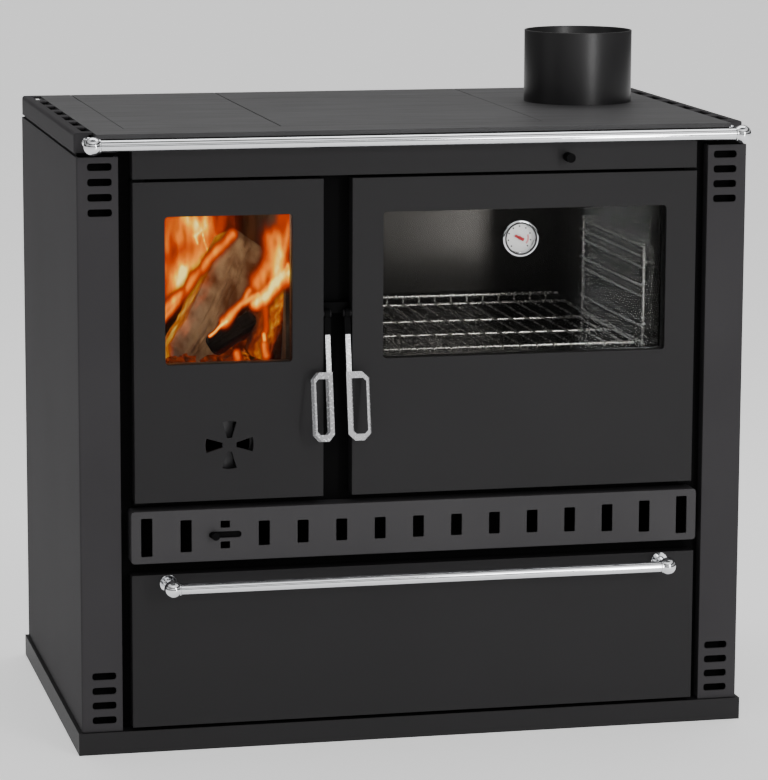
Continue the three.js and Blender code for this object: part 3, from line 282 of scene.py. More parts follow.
# %% Brushed hob steel
MARK_SCALE = 220
STAIN_SCALE = 7
HOB_GREY = (0.060, 0.059, 0.061)
OVEN_GREY = (0.032, 0.0315, 0.032)
SHEET_GREY = (0.055, 0.054, 0.056)


def brushed_steel(name, colour, roughness, depth, stretch, metallic, vary=0.07):
    """Steel with marks drawn out along the axis where stretch is small."""
    material, tree, shader = start_finish(name, colour, roughness, metallic)
    marks = noise_node(tree, MARK_SCALE, 4, stretch)
    stains = noise_node(tree, STAIN_SCALE, 4)
    tones = [(0.3, shade(colour, 0.86)), (0.7, shade(colour, 1.12))]
    tree.links.new(ramp(tree, stains, tones), shader.inputs["Base Color"])
    rubbed = spread(tree, marks, roughness - vary, roughness + vary)
    tree.links.new(rubbed, shader.inputs["Roughness"])
    bump(tree, shader, marks, depth, 0.8 * MM)
    return material


hob_steel = brushed_steel("hob steel", HOB_GREY, 0.48, 0.04 * MM, (0.03, 1, 1), 0.35)
oven_steel = brushed_steel("oven steel", OVEN_GREY, 0.20, 0.004 * MM, (1, 1, 0.03), 0.80, 0.02)
sheet_steel = brushed_steel("sheet steel", SHEET_GREY, 0.45, 0.04 * MM, (1, 0.05, 1), 0.6)
print("steels:", hob_steel.name, oven_steel.name, sheet_steel.name)

# %% [markdown]
# The rails, balls, handles and the thermometer's rim are chromed. Polished chrome is nearly a
# mirror, but never a perfect one: a faint haze of wiping marks keeps its streaks soft. The
# handles are brushed duller by many hands, and the oven's wires are plated but not polished.

# %% Chrome and wire
def polished(name, colour, roughness, scale, metallic=1.0):
    material, tree, shader = start_finish(name, colour, roughness, metallic)
    haze = noise_node(tree, scale, 3)
    wiped = spread(tree, haze, roughness * 0.6, roughness * 1.5)
    tree.links.new(wiped, shader.inputs["Roughness"])
    bump(tree, shader, haze, 0.004 * MM)
    return material


chrome = polished("chrome", (0.80, 0.81, 0.83), 0.07, 60)
handle_chrome = polished("handle chrome", (0.88, 0.88, 0.90), 0.22, 260, 0.6)
wire = polished("bright wire", (1.0, 1.0, 1.0), 0.22, 300, 0.8)
print("bright finishes:", chrome.name, handle_chrome.name, wire.name)

# %% [markdown]
# Firebricks are pale fired clay, smoked black in patches. The firebox, grate and baffle are
# raw plate and cast iron with a rough skin, and the door seals are woven glass rope. The dark
# patches are wide, and the pits in the skin are eighteen times as fine.

# %% Clay, iron and rope
PITS_FINER = 18
WEAVE_SCALE = 260


def rough_skin(name, dark, light, roughness, scale, depth, metallic=0.0):
    material, tree, shader = start_finish(name, light, roughness, metallic)
    patches = noise_node(tree, scale, 6)
    tree.links.new(ramp(tree, patches, [(0.35, dark), (0.65, light)]), shader.inputs["Base Color"])
    pits = noise_node(tree, scale * PITS_FINER, 5)
    bump(tree, shader, pits, depth, 1.5 * MM)
    return material


SOOT, FIRED_CLAY = (0.03, 0.025, 0.02), (0.20, 0.15, 0.11)
DARK_IRON, LIGHT_IRON = (0.018, 0.017, 0.017), (0.045, 0.042, 0.040)
clay = rough_skin("fired clay", SOOT, FIRED_CLAY, 0.95, 14, 0.6 * MM)
iron = rough_skin("raw iron", DARK_IRON, LIGHT_IRON, 0.75, 20, 0.4 * MM, 0.4)


def rope_finish():
    material, tree, shader = start_finish("glass rope", (0.22, 0.21, 0.20), 1.0)
    place = tree.nodes.new("ShaderNodeTexCoord")
    weave = add_node(tree, "ShaderNodeTexWave", {"Scale": WEAVE_SCALE, "Distortion": 2})
    weave.bands_direction = "DIAGONAL"
    tree.links.new(place.outputs["Object"], weave.inputs["Vector"])
    bump(tree, shader, weave.outputs["Fac"], 0.6 * MM)
    # the weave's low parts are darker: painted shade in the hollows between the strands, over the
    # rope's own grey
    tones = [(0.0, (0.12, 0.115, 0.11)), (1.0, (0.30, 0.29, 0.27))]
    tree.links.new(ramp(tree, weave.outputs["Fac"], tones), shader.inputs["Base Color"])
    return material


rope = rope_finish()
print("rough finishes:", clay.name, iron.name, rope.name)

# %% [markdown]
# The door panes are clear glass-ceramic. Glass that bends light would also stop the lamps, so
# each pane lets everything through and adds a mirror that grows at flat angles.

# %% Door glass
GLASS_IOR = 1.45


def let_through(tree, shader, cover, tint=(1, 1, 1)):
    """Shows the shader where cover is high, and what lies behind where it is low."""
    clear = add_node(tree, "ShaderNodeBsdfTransparent", {"Color": (*tint, 1)})
    both = tree.nodes.new("ShaderNodeMixShader")
    tree.links.new(cover, both.inputs[0])
    tree.links.new(clear.outputs[0], both.inputs[1])
    tree.links.new(shader.outputs[0], both.inputs[2])
    tree.links.new(both.outputs[0], tree.nodes["Material Output"].inputs["Surface"])


def pane_finish(name, tint, haze):
    material, tree, shader = start_finish(name, (0.02, 0.02, 0.02), 0.03)
    gloss = add_node(tree, "ShaderNodeFresnel", {"IOR": GLASS_IOR})
    streaks = noise_node(tree, 30, 3)
    tree.links.new(spread(tree, streaks, 0.02, haze), shader.inputs["Roughness"])
    let_through(tree, shader, gloss.outputs["Fac"], tint)
    return material


pane = pane_finish("door pane", (0.93, 0.92, 0.90), 0.06)
print("pane:", pane.name)

# %% [markdown]
# The dial of the oven thermometer is white enamel on tin, and its hand is painted red. Both
# are small, so a trace of grain is enough.

# %% Dial finishes
DIAL_GRAIN = 0.01 * MM
dial_white = stove_paint("dial white", (0.82, 0.82, 0.80), 0.35, DIAL_GRAIN, 0.3 * MM)
dial_red = stove_paint("dial red", (0.42, 0.02, 0.03), 0.4, DIAL_GRAIN, 0.2 * MM)
# black for the dots printed on the dial, and for the painted shade ring inside the bezel
print_and_shade_black = stove_paint("dial print and painted shade black", (0.02, 0.02, 0.02), 0.5, DIAL_GRAIN, 0.0)
dial_pink = stove_paint("dial pink", (0.72, 0.32, 0.32), 0.45, DIAL_GRAIN, 0.0)
print("dial finishes:", dial_white.name, dial_red.name)

# %% [markdown]
# Most solids are named here with their finish. The others are found by a word in their name,
# such as the bricks, the seals and the hinges, and what is left is plain sheet steel.

# %% Give every solid its finish
SIDES = ["right_side_casing", "left_side_casing"]
TOP_RAILS = ["right_top_rail", "left_top_rail"]
FRONTS = ["fascia", "drawer_front", "fire_door_shell", "oven_door_shell"]
BLACK_PARTS = ["front_frame", "latch_keeper", "air_slider", "rosette_shutter", "damper_knob"]
HOB = ["hob_frame", "hob_plate_left", "hob_plate_right"]
FIRE_PARTS = ["firebox", "fire_grate", "smoke_baffle", "damper_plate"]
NAMED = [
    (plinth_paint, ["plinth"]), (casing_paint, SIDES), (rail_paint, TOP_RAILS),
    (strip_paint, ["vent_strip"]), (door_paint, FRONTS), (frame_paint, BLACK_PARTS),
    (flue_paint, ["flue_collar"]), (hob_steel, HOB), (oven_steel, ["oven_liner"]),
    (iron, FIRE_PARTS), (dial_white, ["thermometer_dial"]),
]
FINISHES = {name: material for material, names in NAMED for name in names}
WORDS = {
    "firebrick": clay,
    "_glass": pane,
    "_gasket": rope,
    "oven_rack": wire,
    "oven_shelf": wire,
    "_hinge_": frame_paint,
    "_latch": frame_paint,
    "_handle": handle_chrome,
    "towel_rail": chrome,
    "drawer_rail": chrome,
    "thermometer_case": chrome,
}


def finish_for(name):
    if name in FINISHES:
        return FINISHES[name]
    for word, material in WORDS.items():
        if word in name:
            return material
    return sheet_steel


for name, solid in solids.items():
    solid.data.materials.clear()
    solid.data.materials.append(finish_for(name))
print("solids with a finish:", len(solids))

# %% [markdown]
# Every new piece goes through one helper, which puts its mesh into the scene, shades it, and
# hangs it on the body that it moves with. Meshes come from lists of points and faces.

# %% New pieces
def new_piece(name, mesh_data, material, body, smooth=True):
    """Puts a finished mesh into the scene, on the body it moves with."""
    piece = bpy.data.objects.new(name, mesh_data)
    bpy.context.collection.objects.link(piece)
    mesh_data.materials.append(material)
    for face in mesh_data.polygons:
        face.use_smooth = smooth
    if body:
        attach(piece, body)
    return piece


def mesh_from(name, points, faces):
    mesh = bpy.data.meshes.new(name)
    mesh.from_pydata([tuple(p) for p in points], [], faces)
    mesh.validate()
    mesh.update()
    return mesh


def middle(low, high):
    return (low + high) / 2


print("helpers for pieces: 3")

# %% [markdown]
# A plain pale floor runs out of sight on all sides, so the stove stands in even light with a
# soft shadow at its foot. A little glow keeps it as pale as a studio's paper.

# %% Floor
FLOOR_GLOW = 0.6
FLOOR_REACH = 30


def floor_finish():
    material, tree, shader = start_finish("pale floor", grey(0.86), 0.9)
    set_values(shader, {"Emission Color": (1, 1, 1, 1), "Emission Strength": FLOOR_GLOW})
    tree.links.new(spread(tree, noise_node(tree, 2), 0.85, 0.95), shader.inputs["Roughness"])
    return material


corners = [(x, y, 0) for x, y in ((-1, -1), (1, -1), (1, 1), (-1, 1))]
floor_mesh = mesh_from("floor", [Vector(c) * FLOOR_REACH for c in corners], [(0, 1, 2, 3)])
floor = new_piece("floor", floor_mesh, floor_finish(), None, smooth=False)
print("floor reach:", FLOOR_REACH)

# %% [markdown]
# Rings of points appear in turned pieces, in bent wires and in logs. Two small functions give
# the direction of each step round a ring, and the faces between one ring and the next.

# %% Rings
def around(side, other, step, steps):
    """The direction of one step round a ring that starts at side and turns towards other."""
    angle = 2 * math.pi * step / steps
    return side * math.cos(angle) + other * math.sin(angle)


def ring_faces(rings, steps):
    """The faces between neighbouring rings that have steps points each."""
    faces = []
    for ring in range(rings - 1):
        for step in range(steps):
            a, b = ring * steps + step, ring * steps + (step + 1) % steps
            faces.append((a, b, b + steps, a + steps))
    return faces


def turn_outwards(mesh, weld=0.0):
    """Points all faces outwards, after welding the points that lie closer than weld."""
    work = bmesh.new()
    work.from_mesh(mesh)
    if weld:
        bmesh.ops.remove_doubles(work, verts=work.verts, dist=weld)
    bmesh.ops.recalc_face_normals(work, faces=work.faces)
    work.to_mesh(mesh)
    work.free()


print("faces between two rings of 64:", len(ring_faces(2, 64)))

# %% [markdown]
# The flue collar, the rails' balls and the damper knob are all turned or spun: one outline
# swept round an axis. The helper takes that outline as pairs of distance along the axis and
# radius, so each piece is drawn as a maker would draw its section.

# %% Turned pieces
WELD = 0.001 * MM


def sharpen(piece, degrees=35):
    """Keeps edges sharper than the angle crisp, and smooths the rest."""
    mesh = piece.data
    flat = math.radians(degrees)
    work = bmesh.new()
    work.from_mesh(mesh)
    for edge in work.edges:
        edge.smooth = len(edge.link_faces) == 2 and edge.calc_face_angle(0) < flat
    work.to_mesh(mesh)
    work.free()


def turned(name, outline, place, axis, material, body, steps=64):
    """Sweeps the outline round an axis through place; a closed ring where it never meets it."""
    along = Vector(axis).normalized()
    side = along.orthogonal().normalized()
    other = along.cross(side)
    points = []
    for distance, radius in outline:
        for step in range(steps):
            out = around(side, other, step, steps)
            points.append(Vector(place) + along * distance + out * radius)
    mesh = mesh_from(name, points, ring_faces(len(outline), steps))
    turn_outwards(mesh, WELD)
    piece = new_piece(name, mesh, material, body)
    sharpen(piece)
    return piece


print("points closer than this are welded, in metres:", WELD)

# %% [markdown]
# The flue collar is rolled sheet steel: a plain tube with a softened rim and a flange that is
# hidden under the hob. Its wall is 3 mm thick, as far as the flange is.

# %% Flue collar
low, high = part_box("flue_collar")
flue_place = (middle(low, high).x, middle(low, high).y, 0)
FLUE_WALL = 3 * MM
FLUE_OUTER = 78.5 * MM
FLUE_INNER = FLUE_OUTER - FLUE_WALL
flange = (high.x - low.x) / 2
top, foot = high.z, low.z
soft = 0.7 * MM
flue_outline = [
    (foot, FLUE_INNER), (foot, flange), (foot + FLUE_WALL, flange), (foot + FLUE_WALL, FLUE_OUTER),
    (top - soft, FLUE_OUTER), (top - soft * 0.3, FLUE_OUTER - soft * 0.3), (top, FLUE_OUTER - soft),
    (top, FLUE_INNER + soft), (top - soft * 0.3, FLUE_INNER + soft * 0.3), (top - soft, FLUE_INNER),
    (foot, FLUE_INNER),
]
flue = turned("flue", flue_outline, flue_place, (0, 0, 1), flue_paint, STOVE, 96)
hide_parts("flue_collar")
print("flue radius:", round(FLUE_OUTER, 4))

# %% [markdown]
# Each rail is a chromed tube held between two balls. A ball has a short collar where the tube
# goes in, and a neck with a round foot that is screwed to the metal behind it.

# %% Rails and their balls
TUBE_RADIUS = 8 * MM
TUBE_BORE = 6.5 * MM
BALL_RADIUS = 12.5 * MM
COLLAR_RADIUS = 9.6 * MM
NECK_RADIUS = 5.5 * MM
FOOT_RADIUS = {"towel_rail": 7.5 * MM, "drawer_rail": 12 * MM}
FOOT_THICKNESS = 3 * MM


def ball_outline(radius, from_angle, to_angle, steps=14):
    """Part of a circle, as pairs of distance along the axis and radius."""
    outline = []
    for step in range(steps + 1):
        angle = from_angle + (to_angle - from_angle) * step / steps
        outline.append((-radius * math.cos(angle), radius * math.sin(angle)))
    return outline


def make_rail(prefix, body):
    low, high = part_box(prefix)
    y, z = middle(low, high).y, middle(low, high).z
    tube = [(low.x, TUBE_BORE), (low.x, TUBE_RADIUS), (high.x, TUBE_RADIUS)]
    tube += [(high.x, TUBE_BORE), (low.x, TUBE_BORE)]
    piece = turned(f"{prefix}_tube", tube, (0, y, z), (1, 0, 0), chrome, body, 48)
    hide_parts(prefix)
    for side, word in ((-1, "left"), (1, "right")):
        make_ball(prefix, word, side, y, z, body)


def make_ball(prefix, word, side, y, z, body):
    """A ball whose collar faces the tube, with the neck and foot behind it."""
    node = f"{prefix}_bracket_{word}"
    low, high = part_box(node)
    x = low.x + BALL_RADIUS if side < 0 else high.x - BALL_RADIUS
    open_angle = math.asin(COLLAR_RADIUS / BALL_RADIUS)
    outline = ball_outline(BALL_RADIUS, 0, math.pi - open_angle)
    reach = BALL_RADIUS * math.cos(open_angle)
    slip = TUBE_RADIUS + 0.2 * MM
    outline += [(reach + 1.6 * MM, COLLAR_RADIUS), (reach + 2.2 * MM, COLLAR_RADIUS - 0.6 * MM)]
    outline += [(reach + 2.2 * MM, slip), (reach - 3 * MM, slip)]
    place, sideways, backwards = (x, y, z), (-side, 0, 0), (0, 1, 0)
    ball = turned(f"{node}_ball", outline, place, sideways, chrome, body, 48)
    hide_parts(node)
    neck, foot = NECK_RADIUS, FOOT_RADIUS[prefix]
    back = high.y - y
    plate = back - FOOT_THICKNESS
    outline = [(9 * MM, 0), (9 * MM, neck - 0.6 * MM), (10.6 * MM, neck + 1.6 * MM)]
    outline += [(12 * MM, neck + 1.8 * MM), (13.2 * MM, neck), (plate - 2 * MM, neck)]
    outline += [(plate, neck + 1.6 * MM), (plate, foot - 0.8 * MM), (plate + 0.8 * MM, foot)]
    outline += [(back - 0.4 * MM, foot), (back, foot - 0.4 * MM), (back, 0)]
    neck_piece = turned(f"{node}_neck", outline, place, backwards, chrome, body, 40)
    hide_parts(node)


make_rail("towel_rail", STOVE)
make_rail("drawer_rail", "drawer")
print("rails made: 2, balls made: 4")

# %% [markdown]
# The oven's fittings are bent from bright wire. A wire is a circle swept along a path, and its
# corners are bent to an arc before the sweep. All wires of one piece go into one mesh.

# %% Swept wires
def bent(points, bend, steps=5):
    """The path with each corner replaced by a short curve that starts bend before it."""
    path = [Vector(points[0])]
    for before, corner, after in zip(points, points[1:], points[2:]):
        before, corner, after = Vector(before), Vector(corner), Vector(after)
        start = corner + (before - corner).normalized() * min(bend, (before - corner).length / 2)
        end = corner + (after - corner).normalized() * min(bend, (after - corner).length / 2)
        for step in range(steps + 1):
            t = step / steps
            path.append(start * (1 - t) ** 2 + corner * 2 * t * (1 - t) + end * t**2)
    path.append(Vector(points[-1]))
    return path


def sweep(path, radius, sides=10):
    """Points and faces of a round wire along the path, closed at both ends."""
    points = []
    side = (path[1] - path[0]).orthogonal().normalized()
    for index, place in enumerate(path):
        ahead = path[min(index + 1, len(path) - 1)] - path[max(index - 1, 0)]
        side = (side - ahead * side.dot(ahead) / ahead.length_squared).normalized()
        other = ahead.normalized().cross(side)
        points += [place + around(side, other, step, sides) * radius for step in range(sides)]
    faces = ring_faces(len(path), sides)
    last = (len(path) - 1) * sides
    faces.append(tuple(reversed(range(sides))))
    faces.append(tuple(range(last, last + sides)))
    return points, faces


def wire_piece(name, wires, material, body, node):
    """One mesh from pairs of path and radius, in the place of a node."""
    points, faces = [], []
    for path, radius in wires:
        more_points, more_faces = sweep(path, radius)
        start = len(points)
        points += more_points
        faces += [tuple(corner + start for corner in face) for face in more_faces]
    piece = new_piece(name, mesh_from(name, points, faces), material, body)
    sharpen(piece, 50)
    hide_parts(node)
    print(name, "has", len(wires), "wires")


straight = bent([(0, 0, 0), (1, 0, 0)], 0)
print("a straight wire has", len(straight), "rings of points")

# %% [markdown]
# On each side wall of the oven hangs a ladder of wire: two posts and seven rungs, which carry
# the shelf and the trays. Each rung stands a little in from the posts and turns back to them.

# %% Oven ladders
RUNG_HEIGHTS = [19.2, 45, 87, 102, 129, 144, 159]  # above the oven's floor, in millimetres
POST_RADIUS = 2.5 * MM
RUNG_RADIUS = 1.6 * MM
RUNG_OVERHANG = 9 * MM
RUNG_TURN = 8 * MM
POST_FROM_WALL = 4.7 * MM
RUNG_FROM_POST = 4 * MM
PEG_HEIGHTS = (30 * MM, 28 * MM)  # from the foot and from the top of the post


def make_ladder(node, side):
    low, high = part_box(node)
    wall = low.x if side < 0 else high.x
    post_x = wall - side * POST_FROM_WALL
    rung_x = post_x - side * RUNG_FROM_POST
    floor_z = low.z - 0.3 * MM
    front, rear = low.y + RUNG_OVERHANG, high.y - RUNG_OVERHANG
    wires = []
    for y in (front, rear):
        wires.append(([Vector((post_x, y, low.z)), Vector((post_x, y, high.z))], POST_RADIUS))
        for z in (low.z + PEG_HEIGHTS[0], high.z - PEG_HEIGHTS[1]):
            wires.append(([Vector((post_x, y, z)), Vector((wall, y, z))], POST_RADIUS * 0.8))
    for height in RUNG_HEIGHTS:
        z = floor_z + height * MM
        corners = [(post_x, front, z), (rung_x, front - RUNG_TURN, z)]
        corners += [(rung_x, rear + RUNG_TURN, z), (post_x, rear, z)]
        wires.append((bent(corners, 5 * MM), RUNG_RADIUS))
    wire_piece(f"{node}_wires", wires, wire, STOVE, node)


make_ladder("oven_rack_left", -1)
make_ladder("oven_rack_right", 1)
print("rungs on each side:", len(RUNG_HEIGHTS))

# %% [markdown]
# The shelf rests on the lowest rung. A thick wire makes its frame and two bars, thin wires
# run from front to back over them, and at the back they turn up to a raised stop bar.

# %% Oven shelf
FRAME_WIRE = 2.5 * MM
THIN_WIRE = 1.5 * MM
THIN_WIRE_PITCH = 24.6 * MM
SHELF_BARS = [0.29, 0.6]
STOP_RISE = 13 * MM
NOSE = 3 * MM
low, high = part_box("oven_shelf")
shelf_z = low.z + 4 * MM
shelf_front, shelf_back = low.y + 4.5 * MM, high.y - 2.5 * MM
left_x, right_x = low.x + FRAME_WIRE, high.x - FRAME_WIRE
centre_x = middle(low, high).x
rim = [(centre_x, shelf_front), (left_x, shelf_front), (left_x, shelf_back), (right_x, shelf_back)]
rim += [(right_x, shelf_front), (centre_x, shelf_front)]
shelf_wires = [(bent([(x, y, shelf_z) for x, y in rim], 9 * MM), FRAME_WIRE)]
for share in SHELF_BARS:
    y = shelf_front + share * (shelf_back - shelf_front)
    bar = [Vector((x, y, shelf_z)) for x in (left_x, right_x)]
    shelf_wires.append((bar, FRAME_WIRE))
stop_z = shelf_z + STOP_RISE
stop_ends = [Vector((x, shelf_back, stop_z)) for x in (left_x + 10 * MM, right_x - 10 * MM)]
shelf_wires.append((stop_ends, FRAME_WIRE))
thin_count = math.floor((high.x - low.x - 20 * MM) / THIN_WIRE_PITCH)
for index in range(thin_count):
    x = centre_x + (index - (thin_count - 1) / 2) * THIN_WIRE_PITCH
    nose, lift = shelf_front - NOSE, shelf_z + FRAME_WIRE * 0.8
    corners = [(x, nose, shelf_z - 3.8 * MM), (x, nose, lift)]
    corners += [(x, shelf_back, lift), (x, shelf_back, stop_z)]
    shelf_wires.append((bent(corners, 4 * MM), THIN_WIRE))
wire_piece("oven_shelf_wires", shelf_wires, wire, STOVE, "oven_shelf")
print("thin wires:", thin_count)

# %% [markdown]
# The thermometer sits in a round hole in the oven door's glass. Its chromed bezel is a rolled
# ring with a black ring inside it, which is painted shade in the bezel's hollow, and the can
# and the probe stand behind the glass.

# %% Thermometer case
low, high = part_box("thermometer_case")
gauge = middle(low, high)
gauge_front = (gauge.x, low.y, gauge.z)
BACKWARDS = (0, 1, 0)
BOWL_RADIUS = 20.5 * MM
CAN_RADIUS = 22 * MM
PROBE_RADIUS = 3 * MM
PROBE_LENGTH = 26 * MM
CAN_LENGTH = 16 * MM
bezel_radius = (high.x - low.x) / 2
back = high.y - low.y
can_back = back - PROBE_LENGTH
rim_back = can_back - CAN_LENGTH
bowl_back = rim_back + 8.5 * MM
bezel = [
    (bowl_back, 0), (bowl_back, BOWL_RADIUS), (1.6 * MM, BOWL_RADIUS),
    (0.5 * MM, BOWL_RADIUS + 0.4 * MM), (0, BOWL_RADIUS + 1.6 * MM),
    (0.3 * MM, bezel_radius - 1.5 * MM), (1.1 * MM, bezel_radius - 0.3 * MM),
    (min(2 * MM, rim_back), bezel_radius), (rim_back, bezel_radius),
    (rim_back, CAN_RADIUS), (can_back, CAN_RADIUS),
    (can_back, PROBE_RADIUS), (back, PROBE_RADIUS), (back, 0),
]
# a black ring just inside the bezel's rim: painted shade where the bezel's hollow lies in shadow
painted_shade_ring = [
    (0.9 * MM, BOWL_RADIUS - 0.2 * MM), (-0.4 * MM, BOWL_RADIUS + 0.2 * MM),
    (-0.5 * MM, BOWL_RADIUS + 2.2 * MM), (1.4 * MM, BOWL_RADIUS + 2.6 * MM),
    (0.9 * MM, BOWL_RADIUS - 0.2 * MM),
]
TURNED_CASE = {"thermometer_bezel": (bezel, chrome), "bezel_groove": (painted_shade_ring, print_and_shade_black)}
for name, (outline, finish) in TURNED_CASE.items():
    piece = turned(name, outline, gauge_front, BACKWARDS, finish, "oven_door", 72)
    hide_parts("thermometer_case")
print("bezel radius:", round(bezel_radius, 4))

# %% [markdown]
# The dial is a disc with nine raised dots around it and a pale red arc at the hot end. A point
# on it is given by its radius, its angle from the top and its lift off the face.

# %% Dial face, dots and arc
low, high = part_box("thermometer_dial")
face_y = high.y - 1.0 * MM
face_radius = (high.x - low.x) / 2
DOT_COUNT = 9
DOT_RADIUS = 1.1 * MM
DOT_RING = 0.80  # as a share of the face's radius
DOT_SWEEP = math.radians(270)
ARC_FROM, ARC_SWEEP, ARC_STEPS = math.radians(70), math.radians(60), 16
# corners of the arc's section: share of the face's radius, and lift in millimetres
ARC_SECTION = ((0.55, 0.05), (0.68, 0.05), (0.68, 0.25), (0.55, 0.25))


def on_dial(radius, angle, lift):
    """A point at that angle from the top, measured clockwise, lifted off the face."""
    x, z = gauge.x + radius * math.sin(angle), gauge.z + radius * math.cos(angle)
    return Vector((x, face_y - lift, z))


def dial_disc(name, outline, place, material, steps):
    piece = turned(name, outline, place, BACKWARDS, material, "oven_door", steps)
    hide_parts("thermometer_dial")


def dial_plate(name, points, faces, material):
    mesh = mesh_from(name, points, faces)
    piece = new_piece(name, mesh, material, "oven_door", False)
    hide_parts("thermometer_dial")


face = [(0, 0), (0, face_radius - 0.4 * MM), (0.3 * MM, face_radius)]
face += [(1 * MM, face_radius), (1 * MM, 0)]
dial_disc("dial_face", face, on_dial(0, 0, 0), dial_white, 48)
dot = [(0, 0), (0, DOT_RADIUS), (0.3 * MM, DOT_RADIUS), (0.3 * MM, 0)]
for index in range(DOT_COUNT):
    angle = -DOT_SWEEP / 2 + DOT_SWEEP * index / (DOT_COUNT - 1)
    place = on_dial(face_radius * DOT_RING, angle, 0.15 * MM)
    dial_disc(f"dial_dot_{index}", dot, place, print_and_shade_black, 12)
arc_points, arc_faces = [], []
for step in range(ARC_STEPS + 1):
    angle = ARC_FROM + ARC_SWEEP * step / ARC_STEPS
    arc_points += [on_dial(face_radius * share, angle, lift * MM) for share, lift in ARC_SECTION]
for step in range(ARC_STEPS):
    for side in range(4):
        a, b = step * 4 + side, step * 4 + (side + 1) % 4
        arc_faces.append((a, a + 4, b + 4, b))
arc_faces += [(0, 1, 2, 3), tuple(ARC_STEPS * 4 + side for side in (3, 2, 1, 0))]
dial_plate("dial_arc", arc_points, arc_faces, dial_pink)
print("dots on the dial:", DOT_COUNT)

# %% [markdown]
# The red hand is a short flat bar, a little wider at its tail than at its tip. It turns on a
# round hub, which stands proud of the face.

# %% Dial hand
HAND_ANGLE = math.radians(-63)
HAND_TAIL, HAND_TIP = 6.5 * MM, 7.5 * MM
TAIL_HALF_WIDTH, TIP_HALF_WIDTH = 2.2 * MM, 1.7 * MM
HAND_LIFT, HAND_THICKNESS = 2.2 * MM, 0.8 * MM
tail = on_dial(HAND_TAIL, HAND_ANGLE + math.pi, HAND_LIFT)
tip = on_dial(HAND_TIP, HAND_ANGLE, HAND_LIFT)
across = (tip - tail).cross(Vector(BACKWARDS)).normalized()
hand_outline = [
    tail + across * TAIL_HALF_WIDTH, tip + across * TIP_HALF_WIDTH,
    tip - across * TIP_HALF_WIDTH, tail - across * TAIL_HALF_WIDTH,
]
hand_points = hand_outline + [point + Vector(BACKWARDS) * HAND_THICKNESS for point in hand_outline]
hand_faces = [(0, 1, 2, 3), (7, 6, 5, 4)]
hand_faces += [(a, a + 4, (a + 1) % 4 + 4, (a + 1) % 4) for a in range(4)]
dial_plate("dial_hand", hand_points, hand_faces, dial_red)
hub = [(-1.6 * MM, 0), (-1.6 * MM, 2 * MM), (-1.2 * MM, 2.4 * MM)]
hub += [(1.4 * MM, 2.4 * MM), (1.4 * MM, 0)]
dial_disc("dial_hub", hub, on_dial(0, 0, 1.5 * MM), dial_red, 24)
print("hand from tail to tip:", round((tip - tail).length, 4))

# %% [markdown]
# Folded sheet has no knife edges. The fronts, the plinth, the hob, the handles and the latches
# keep their solids and get a small rolled edge from a modifier, which catches the light as the
# real bends do.

# %% Rolled edges
# width in millimetres, and the solids that have it
ROLLED = {
    0.9: ["fire_door_shell", "oven_door_shell", "drawer_front", "fascia", "plinth"],
    0.8: ["fire_door_latch", "oven_door_latch", "hob_frame"],
    1.4: ["fire_door_handle", "oven_door_handle"],
    0.5: ["hob_plate_left", "hob_plate_right"],
}
for width, nodes in ROLLED.items():
    for node in nodes:
        edge = solids[node].modifiers.new("rolled edge", "BEVEL")
        edge.width = width * MM
        edge.segments = 3
        edge.limit_method = "ANGLE"
        edge.angle_limit = math.radians(40)
        edge.use_clamp_overlap = True
print("solids with rolled edges:", sum(len(nodes) for nodes in ROLLED.values()))

# %% [markdown]
# The fire is the brightest thing on the stove. Every piece of it carries one number at each
# point, its heat, from 0 for cold ash to 1 for the white core of a flame. A material turns the
# heat into colour and glow, so logs, embers and flames share one scale of fire colours.

# %% Fire colours
HEAT_NAME = "fire_heat"
COLDEST = 0.05
CRUMBLE_SCALE = 320
FIRE_COLOURS = [
    (0.0, (0.02, 0.001, 0.0)), (0.2, (0.30, 0.018, 0.001)), (0.42, (0.70, 0.055, 0.001)),
    (0.62, (1.0, 0.23, 0.004)), (0.8, (1.0, 0.46, 0.015)), (1.0, (1.0, 0.82, 0.20)),
]


def add_glow(tree, shader, low, high):
    """Colours the glow by the heat, and lets it grow with the heat from low to high."""
    heat = tree.nodes.new("ShaderNodeAttribute")
    heat.attribute_name = HEAT_NAME
    ends = {"From Min": COLDEST, "To Min": low, "To Max": high}
    strength = add_node(tree, "ShaderNodeMapRange", ends)
    tree.links.new(heat.outputs["Fac"], strength.inputs["Value"])
    colour = ramp(tree, heat.outputs["Fac"], FIRE_COLOURS)
    tree.links.new(colour, shader.inputs["Emission Color"])
    tree.links.new(strength.outputs["Result"], shader.inputs["Emission Strength"])
    return heat.outputs["Fac"]


def burning(name, ash, bark, glow):
    """Charred wood: ash and bark in streaks, with a glow where the heat is high."""
    material, tree, shader = start_finish(name, bark, 0.95)
    set_values(shader, {"Specular IOR Level": 0.1})
    patches = noise_node(tree, 38, 7, (1.0, 1.0, 0.7))
    tree.links.new(ramp(tree, patches, [(0.36, bark), (0.62, ash)]), shader.inputs["Base Color"])
    add_glow(tree, shader, 0.0, glow)
    bump(tree, shader, noise_node(tree, CRUMBLE_SCALE, 6), 1.2 * MM)
    return material


def flame_finish(name, glow):
    """A flame has no surface: where the heat is low the sheet lets everything through."""
    material, tree, shader = start_finish(name, grey(0), 1.0)
    set_values(shader, {"Specular IOR Level": 0.0})
    heat = add_glow(tree, shader, 0.45, glow)
    let_through(tree, shader, ramp(tree, heat, [(0.06, grey(0)), (0.34, grey(1))]))
    return material


ash_wood = burning("ash grey wood", (0.340, 0.270, 0.200), (0.130, 0.062, 0.032), 0.7)
black_wood = burning("charred wood", (0.012, 0.010, 0.009), (0.004, 0.003, 0.003), 0.9)
coal = burning("glowing coal", (0.22, 0.06, 0.02), (0.05, 0.018, 0.010), 0.8)
flame = flame_finish("flame", 2.0)
print("fire finishes:", ash_wood.name, black_wood.name, coal.name, flame.name)

# %% [markdown]
# Places in the fire are given as seen through the window: how far across it, how far down it,
# and how deep behind it. The line of sight slants, so a place that lies deeper also moves to
# the right and down.

